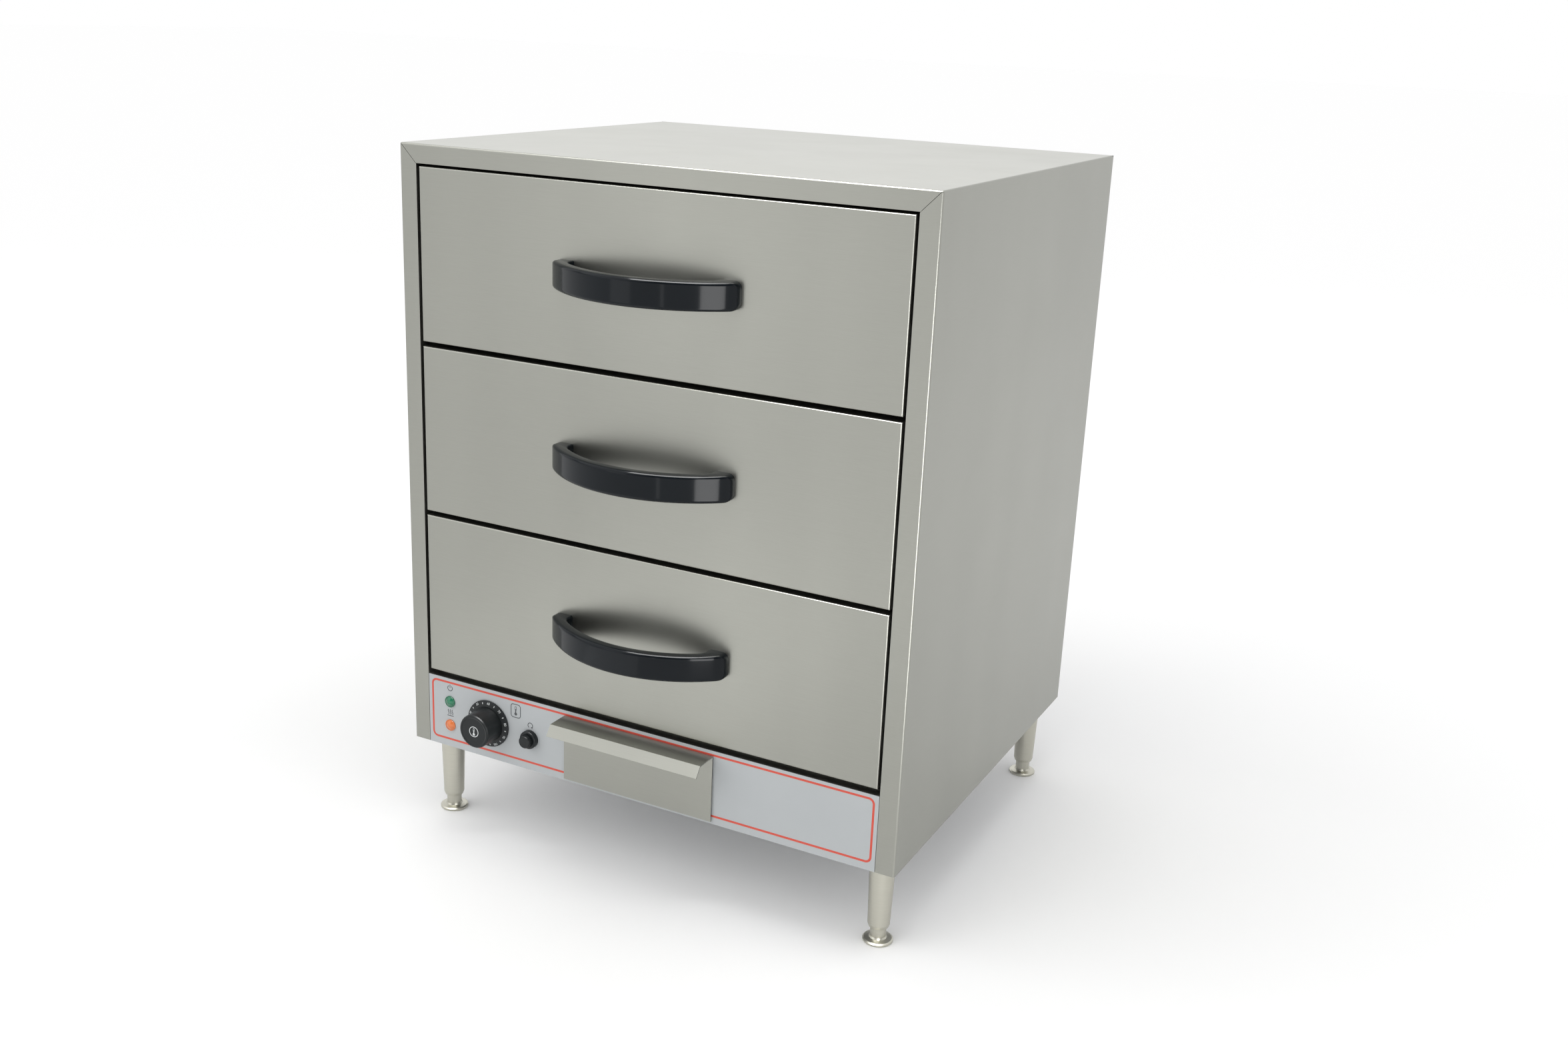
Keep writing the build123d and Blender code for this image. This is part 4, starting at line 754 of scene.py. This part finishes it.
def ball_template(steps=8, rings=6):
    """A small sphere: rings of latitude, radius times its cosine wide and its sine high."""
    latitude = np.linspace(-np.pi / 2, np.pi / 2, rings)
    profile = np.stack([BALL_RADIUS * np.cos(latitude), BALL_RADIUS * np.sin(latitude)], -1)
    profile[[0, -1], 0] = BALL_RADIUS * 0.05
    return turned(profile, (0, 0, 0), (0, 0, 1), steps)


ball_points, ball_faces = ball_template()
cage_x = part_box("slide_outer_members")[1].x - CAGE_INSET
for drawer in DRAWERS:
    low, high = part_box("slide_mid_" + drawer)
    middle_z = (low.z + high.z) / 2
    half_race = (high.z - low.z) / 2
    cages = (
        (high.y - BACK_CAGE_START, half_race - BACK_RACE_INSET),
        (low.y + FRONT_CAGE_START, half_race - FRONT_RACE_INSET),
    )
    balls = []
    for side in (-1, 1):
        for start_y, race in cages:
            for step in range(BALLS_A_CAGE):
                for end in (-1, 1):
                    spot = (side * cage_x, start_y + step * BALL_PITCH, middle_z + end * race)
                    balls.append((ball_points + spot, ball_faces))
    ball_row = joined("slide_balls_" + drawer, balls)
    settle(ball_row, polished, "slide_mid_" + drawer)

# Indicator lamps: a thin rim round a domed lens, on the barrel that goes through the fascia
LENS_PROFILE = (
    (0.0050, 0.024),
    (0.0050, 0.0),
    (0.0065, 0.0),
    (0.0065, -0.0009),
    (0.0063, -0.0013),
    (0.0058, -0.0014),
    (0.0055, -0.0011),
    (0.0052, -0.0013),
    (0.0045, -0.0019),
    (0.0034, -0.0025),
    (0.0020, -0.0030),
    (0.0008, -0.0032),
    (0.0001, -0.0032),
)
for node, material, lens_slot in (
    ("power_lamp", green_lens, "green_lens"),
    ("heat_lamp", orange_lens, "orange_lens"),
):
    low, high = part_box(node)
    axis_place = (LAMP_X, FRONT_Y, (low.z + high.z) / 2)
    lamp_lens = joined(node + "_lens", [turned(LENS_PROFILE, axis_place, (0, 1, 0), 40)])
    settle(lamp_lens, material, "cabinet")
    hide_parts(node)

# Back panel screws: pan heads with a cross recess
HEAD_RADIUS = 0.004
HEAD_HEIGHT = 0.0022
SHANK_RADIUS = 0.002
SCREW_TAIL = 0.008
RECESS_HALF_WIDTH = 0.00055
RECESS_REACH = 0.0022
RECESS_DEPTH = 0.0011
HEAD_SHARP = 35.0
PANEL_LIFT = 0.015
CABINET_HEIGHT = 0.643
PANEL_SCREW_SHARES = (0.08, 0.5, 0.92)


def recessed_head(x, z, steps=48):
    """A pan-head screw along +Y whose face dips in the shape of a cross.

    Rings at a share r of the head's radius rise as height * sqrt(1 - (0.96 r)^4), less the recess
    depth inside either bar of the cross. Then come the rim on the panel, the shank and its tail.
    """
    shares = np.linspace(0.02, 1.0, 16)
    t = np.linspace(0, 2 * np.pi, steps, endpoint=False)
    radius = shares[:, None] * HEAD_RADIUS * np.ones(steps)
    across, up = radius * np.cos(t), radius * np.sin(t)
    dome = HEAD_HEIGHT * np.sqrt(1 - (shares * 0.96) ** 4)[:, None] * np.ones(steps)
    in_bar = np.minimum(np.abs(across), np.abs(up)) < RECESS_HALF_WIDTH
    in_reach = np.maximum(np.abs(across), np.abs(up)) < RECESS_REACH
    height = dome - RECESS_DEPTH * (in_bar & in_reach)
    face = np.stack([x + across, BACK_Y + height, z + up], -1)
    rim = flat_ring(x + HEAD_RADIUS * np.cos(t), BACK_Y, z + HEAD_RADIUS * np.sin(t))
    shank = flat_ring(x + SHANK_RADIUS * np.cos(t), BACK_Y, z + SHANK_RADIUS * np.sin(t))
    return stacked(np.concatenate([face, rim[None], shank[None], shank[None] - (0, SCREW_TAIL, 0)]))


screws_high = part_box("back_panel_screws")[1]
side_x = screws_high.x - HEAD_RADIUS
panel_low, panel_high = BASE_Z + PANEL_LIFT, BASE_Z + CABINET_HEIGHT
side_heights = [panel_low + share * (panel_high - panel_low) for share in PANEL_SCREW_SHARES]
spots = [(side * side_x, z) for side in (-1, 1) for z in side_heights]
spots.append((0.0, screws_high.z - HEAD_RADIUS))
screws = joined("panel_screws", [recessed_head(x, z) for x, z in spots], HEAD_SHARP)
settle(screws, slide_steel, "cabinet")
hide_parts("back_panel_screws")

# Cable gland: hexagonal flange and ribbed cap nut on a threaded sleeve
GLAND_FLANGE = 0.005
GLAND_FLANGE_EDGE = 0.0008
GLAND_FLANGE_RADIUS = 0.0135
GLAND_CAP_RADIUS = 0.0114
GLAND_THREAD_RADIUS = 0.010
GLAND_BORE = 0.0045
GLAND_RIBS = 24
GLAND_RIB_DEPTH = 0.0005
GLAND_SHARP = 28.0
GLAND_STEPS = 144
gland_turn = np.linspace(0, 2 * np.pi, GLAND_STEPS, endpoint=False)


def gland_ring(reach, y):
    """A ring round the gland's axis, its radius given at each step of the turn."""
    return flat_ring(GLAND_X + reach * np.cos(gland_turn), y, GLAND_Z + reach * np.sin(gland_turn))


def ribbed_rings(profile):
    """Rings of (radius, y, ribness); radius less rib depth * ribness * (1 - cos of ribs * turn) / 2."""
    wave_turn = 0.5 - 0.5 * np.cos(GLAND_RIBS * gland_turn)
    return np.stack(
        [gland_ring(radius - GLAND_RIB_DEPTH * ribness * wave_turn, y) for radius, y, ribness in profile]
    )


def hexagon_rings(profile):
    """Hexagonal rings of (y, inset): apothem / cos of the angle to the nearest flat, less the inset."""
    nearest = gland_turn % (math.pi / 3) - math.pi / 6
    reach = GLAND_FLANGE_RADIUS * math.cos(math.pi / 6) / np.cos(nearest)
    return np.stack([gland_ring(reach - inset, y) for y, inset in profile])


inside_y, cap_y = gland_low.y, gland_high.y
flange_rings = hexagon_rings(
    (
        (BACK_Y, 0.0),
        (BACK_Y + GLAND_FLANGE - GLAND_FLANGE_EDGE, 0.0),
        (BACK_Y + GLAND_FLANGE, GLAND_FLANGE_EDGE),
    )
)
cap_rings = ribbed_rings(
    (
        (GLAND_CAP_RADIUS, BACK_Y + GLAND_FLANGE, 0.0),
        (GLAND_CAP_RADIUS, BACK_Y + GLAND_FLANGE + 0.0012, 1.0),
        (GLAND_CAP_RADIUS, cap_y - 0.0052, 1.0),
        (GLAND_CAP_RADIUS - 0.0006, cap_y - 0.0036, 0.4),
        (GLAND_CAP_RADIUS - 0.0020, cap_y - 0.0012, 0.0),
        (GLAND_CAP_RADIUS - 0.0036, cap_y - 0.0002, 0.0),
        (GLAND_CAP_RADIUS - 0.0048, cap_y, 0.0),
        (GLAND_BORE, cap_y - 0.0008, 0.0),
        (GLAND_BORE, inside_y, 0.0),
        (GLAND_THREAD_RADIUS - 0.0005, inside_y, 0.0),
        (GLAND_THREAD_RADIUS, inside_y + 0.0005, 0.0),
        (GLAND_THREAD_RADIUS, BACK_Y, 0.0),
    )
)
gland_rings = np.concatenate([flange_rings, cap_rings])
gland_faces = grid_faces(*gland_rings.shape[:2], close_rows=True, close_columns=True)
gland = mesh_piece("ribbed_cable_gland", gland_rings.reshape(-1, 3), gland_faces, GLAND_SHARP)
settle(gland, control_black, "cabinet")
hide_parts("cable_gland")

# Camera at the photograph's viewing angle, in metres from a point inside the cabinet
CAMERA_CENTRE = Vector((0, 0.01475, 0.4145))
CAMERA_BACK = 1.75858
CAMERA_RIGHT = -0.0167325
CAMERA_UP = -0.073945
azimuth, elevation, roll = (math.radians(angle) for angle in (27.661, 17.500, 2.215))
back = Vector(
    (
        math.sin(azimuth) * math.cos(elevation),
        -math.cos(azimuth) * math.cos(elevation),
        math.sin(elevation),
    )
)
level_right = Vector((0, 0, 1)).cross(back).normalized()
level_up = back.cross(level_right)
right = math.cos(roll) * level_right + math.sin(roll) * level_up
up = -math.sin(roll) * level_right + math.cos(roll) * level_up
camera_data = bpy.data.cameras.new("camera")
camera = bpy.data.objects.new("camera", camera_data)
bpy.context.scene.collection.objects.link(camera)
camera_place = CAMERA_CENTRE + back * CAMERA_BACK + right * CAMERA_RIGHT + up * CAMERA_UP
camera_turn = Matrix((right, up, back)).transposed()
camera.matrix_world = Matrix.Translation(camera_place) @ camera_turn.to_4x4()
camera_data.sensor_width = 36.0
camera_data.lens = 36.73
camera_data.shift_x = 0.0235
camera_data.shift_y = -0.0048
bpy.context.scene.camera = camera

# Pale floor, an even white dome and soft studio lamps
FLOOR_HALF = 30.0
ROOM_DIMMING = 0.7
corners = np.array([(-1, -1, 0), (1, -1, 0), (1, 1, 0), (-1, 1, 0)], float)
floor = mesh_piece("floor", corners * FLOOR_HALF, [[0, 1, 2, 3]])
floor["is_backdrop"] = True
floor_material, nodes, links, shader = new_material("pale_floor")
shader.inputs["Base Color"].default_value = (0.985, 0.985, 0.985, 1)
shader.inputs["Roughness"].default_value = 0.9
shader.inputs["Specular IOR Level"].default_value = 0.0
clothe(floor, floor_material)

world = bpy.data.worlds.new("studio")
bpy.context.scene.world = world
world.use_nodes = True
nodes, links = world.node_tree.nodes, world.node_tree.links
rays = nodes.new("ShaderNodeLightPath")
seen = math_node(nodes, "MAXIMUM")
links.new(rays.outputs["Is Camera Ray"], seen.inputs[0])
links.new(rays.outputs["Is Transmission Ray"], seen.inputs[1])
shown = math_node(nodes, "MAXIMUM")
links.new(seen.outputs[0], shown.inputs[0])
links.new(rays.outputs["Is Glossy Ray"], shown.inputs[1])
strength = nodes.new("ShaderNodeMapRange")
strength.inputs["To Min"].default_value = 0.85
strength.inputs["To Max"].default_value = 1.0
links.new(shown.outputs[0], strength.inputs["Value"])

# Reflections see a dimmer room behind the camera, between the horizon and the ceiling
direction = nodes.new("ShaderNodeTexCoord")
split = nodes.new("ShaderNodeSeparateXYZ")
links.new(direction.outputs["Generated"], split.inputs[0])
dim = rays.outputs["Is Glossy Ray"]
for axis, start, end in (("Y", -0.05, -0.35), ("Z", 0.05, 0.18), ("Z", 0.92, 0.80)):
    edge = nodes.new("ShaderNodeMapRange")
    edge.inputs["From Min"].default_value = start
    edge.inputs["From Max"].default_value = end
    links.new(split.outputs[axis], edge.inputs["Value"])
    both = math_node(nodes, "MULTIPLY")
    links.new(dim, both.inputs[0])
    links.new(edge.outputs[0], both.inputs[1])
    dim = both.outputs[0]
remaining = math_node(nodes, "MULTIPLY_ADD", b=-ROOM_DIMMING, c=1.0)
links.new(dim, remaining.inputs[0])
dimmed = math_node(nodes, "MULTIPLY")
links.new(strength.outputs[0], dimmed.inputs[0])
links.new(remaining.outputs[0], dimmed.inputs[1])
links.new(dimmed.outputs[0], nodes["Background"].inputs["Strength"])
nodes["Background"].inputs["Color"].default_value = (1, 1, 1, 1)


def softbox(name, place, target, size, brightness, only_reflected=False):
    """A rectangular area lamp facing a target; brightness 1 looks as bright as the white dome.

    only_reflected keeps it to glossy reflections, so that it lights no matt surface.
    """
    data = bpy.data.lights.new(name, "AREA")
    data.shape = "RECTANGLE"
    data.size, data.size_y = size
    data.energy = brightness * math.pi * size[0] * size[1]
    lamp = bpy.data.objects.new(name, data)
    bpy.context.scene.collection.objects.link(lamp)
    direction = Vector(target) - Vector(place)
    turned_to = direction.to_track_quat("-Z", "Y").to_matrix().to_4x4()
    lamp.matrix_world = Matrix.Translation(place) @ turned_to
    lamp.visible_camera = False
    lamp.visible_diffuse = not only_reflected


softbox("back_light", (-1.7, 3.0, 1.8), (-0.1, 0.1, 0.74), (3.2, 1.5), 0.34)
softbox("overhead_strip", (0.35, -0.5, 2.5), (0.1, -0.2, 0.5), (1.3, 0.3), 6.0)
softbox("low_left_window", (-1.05, -2.2, 0.45), (-0.1, -0.2, 0.5), (0.7, 0.8), 0.6, True)
softbox("far_window", (0.18, -1.45, 0.32), (0.05, -0.27, 0.32), (0.05, 0.6), 1.2, True)
softbox("near_window", (0.59, -0.74, 0.31), (0.07, -0.27, 0.31), (0.26, 0.62), 6.0, True)
softbox("ceiling_light", (0.1, -0.85, 2.55), (0.1, -0.84, 0.5), (2.0, 1.2), 18.0, True)
softbox("floor_bounce", (-0.30, -0.88, 0.02), (-0.30, -0.88, 1.0), (0.5, 0.7), 0.4, True)
key = bpy.data.lights.new("key_light", "SUN")
key.energy = 0.86
key.angle = math.radians(60)
key_lamp = bpy.data.objects.new("key_light", key)
bpy.context.scene.collection.objects.link(key_lamp)
key_lamp.rotation_mode = "QUATERNION"
key_lamp.rotation_quaternion = Vector((0.62, 0.62, -0.62)).to_track_quat("-Z", "Y")
bpy.context.scene.view_settings.view_transform = "Standard"

low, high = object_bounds()
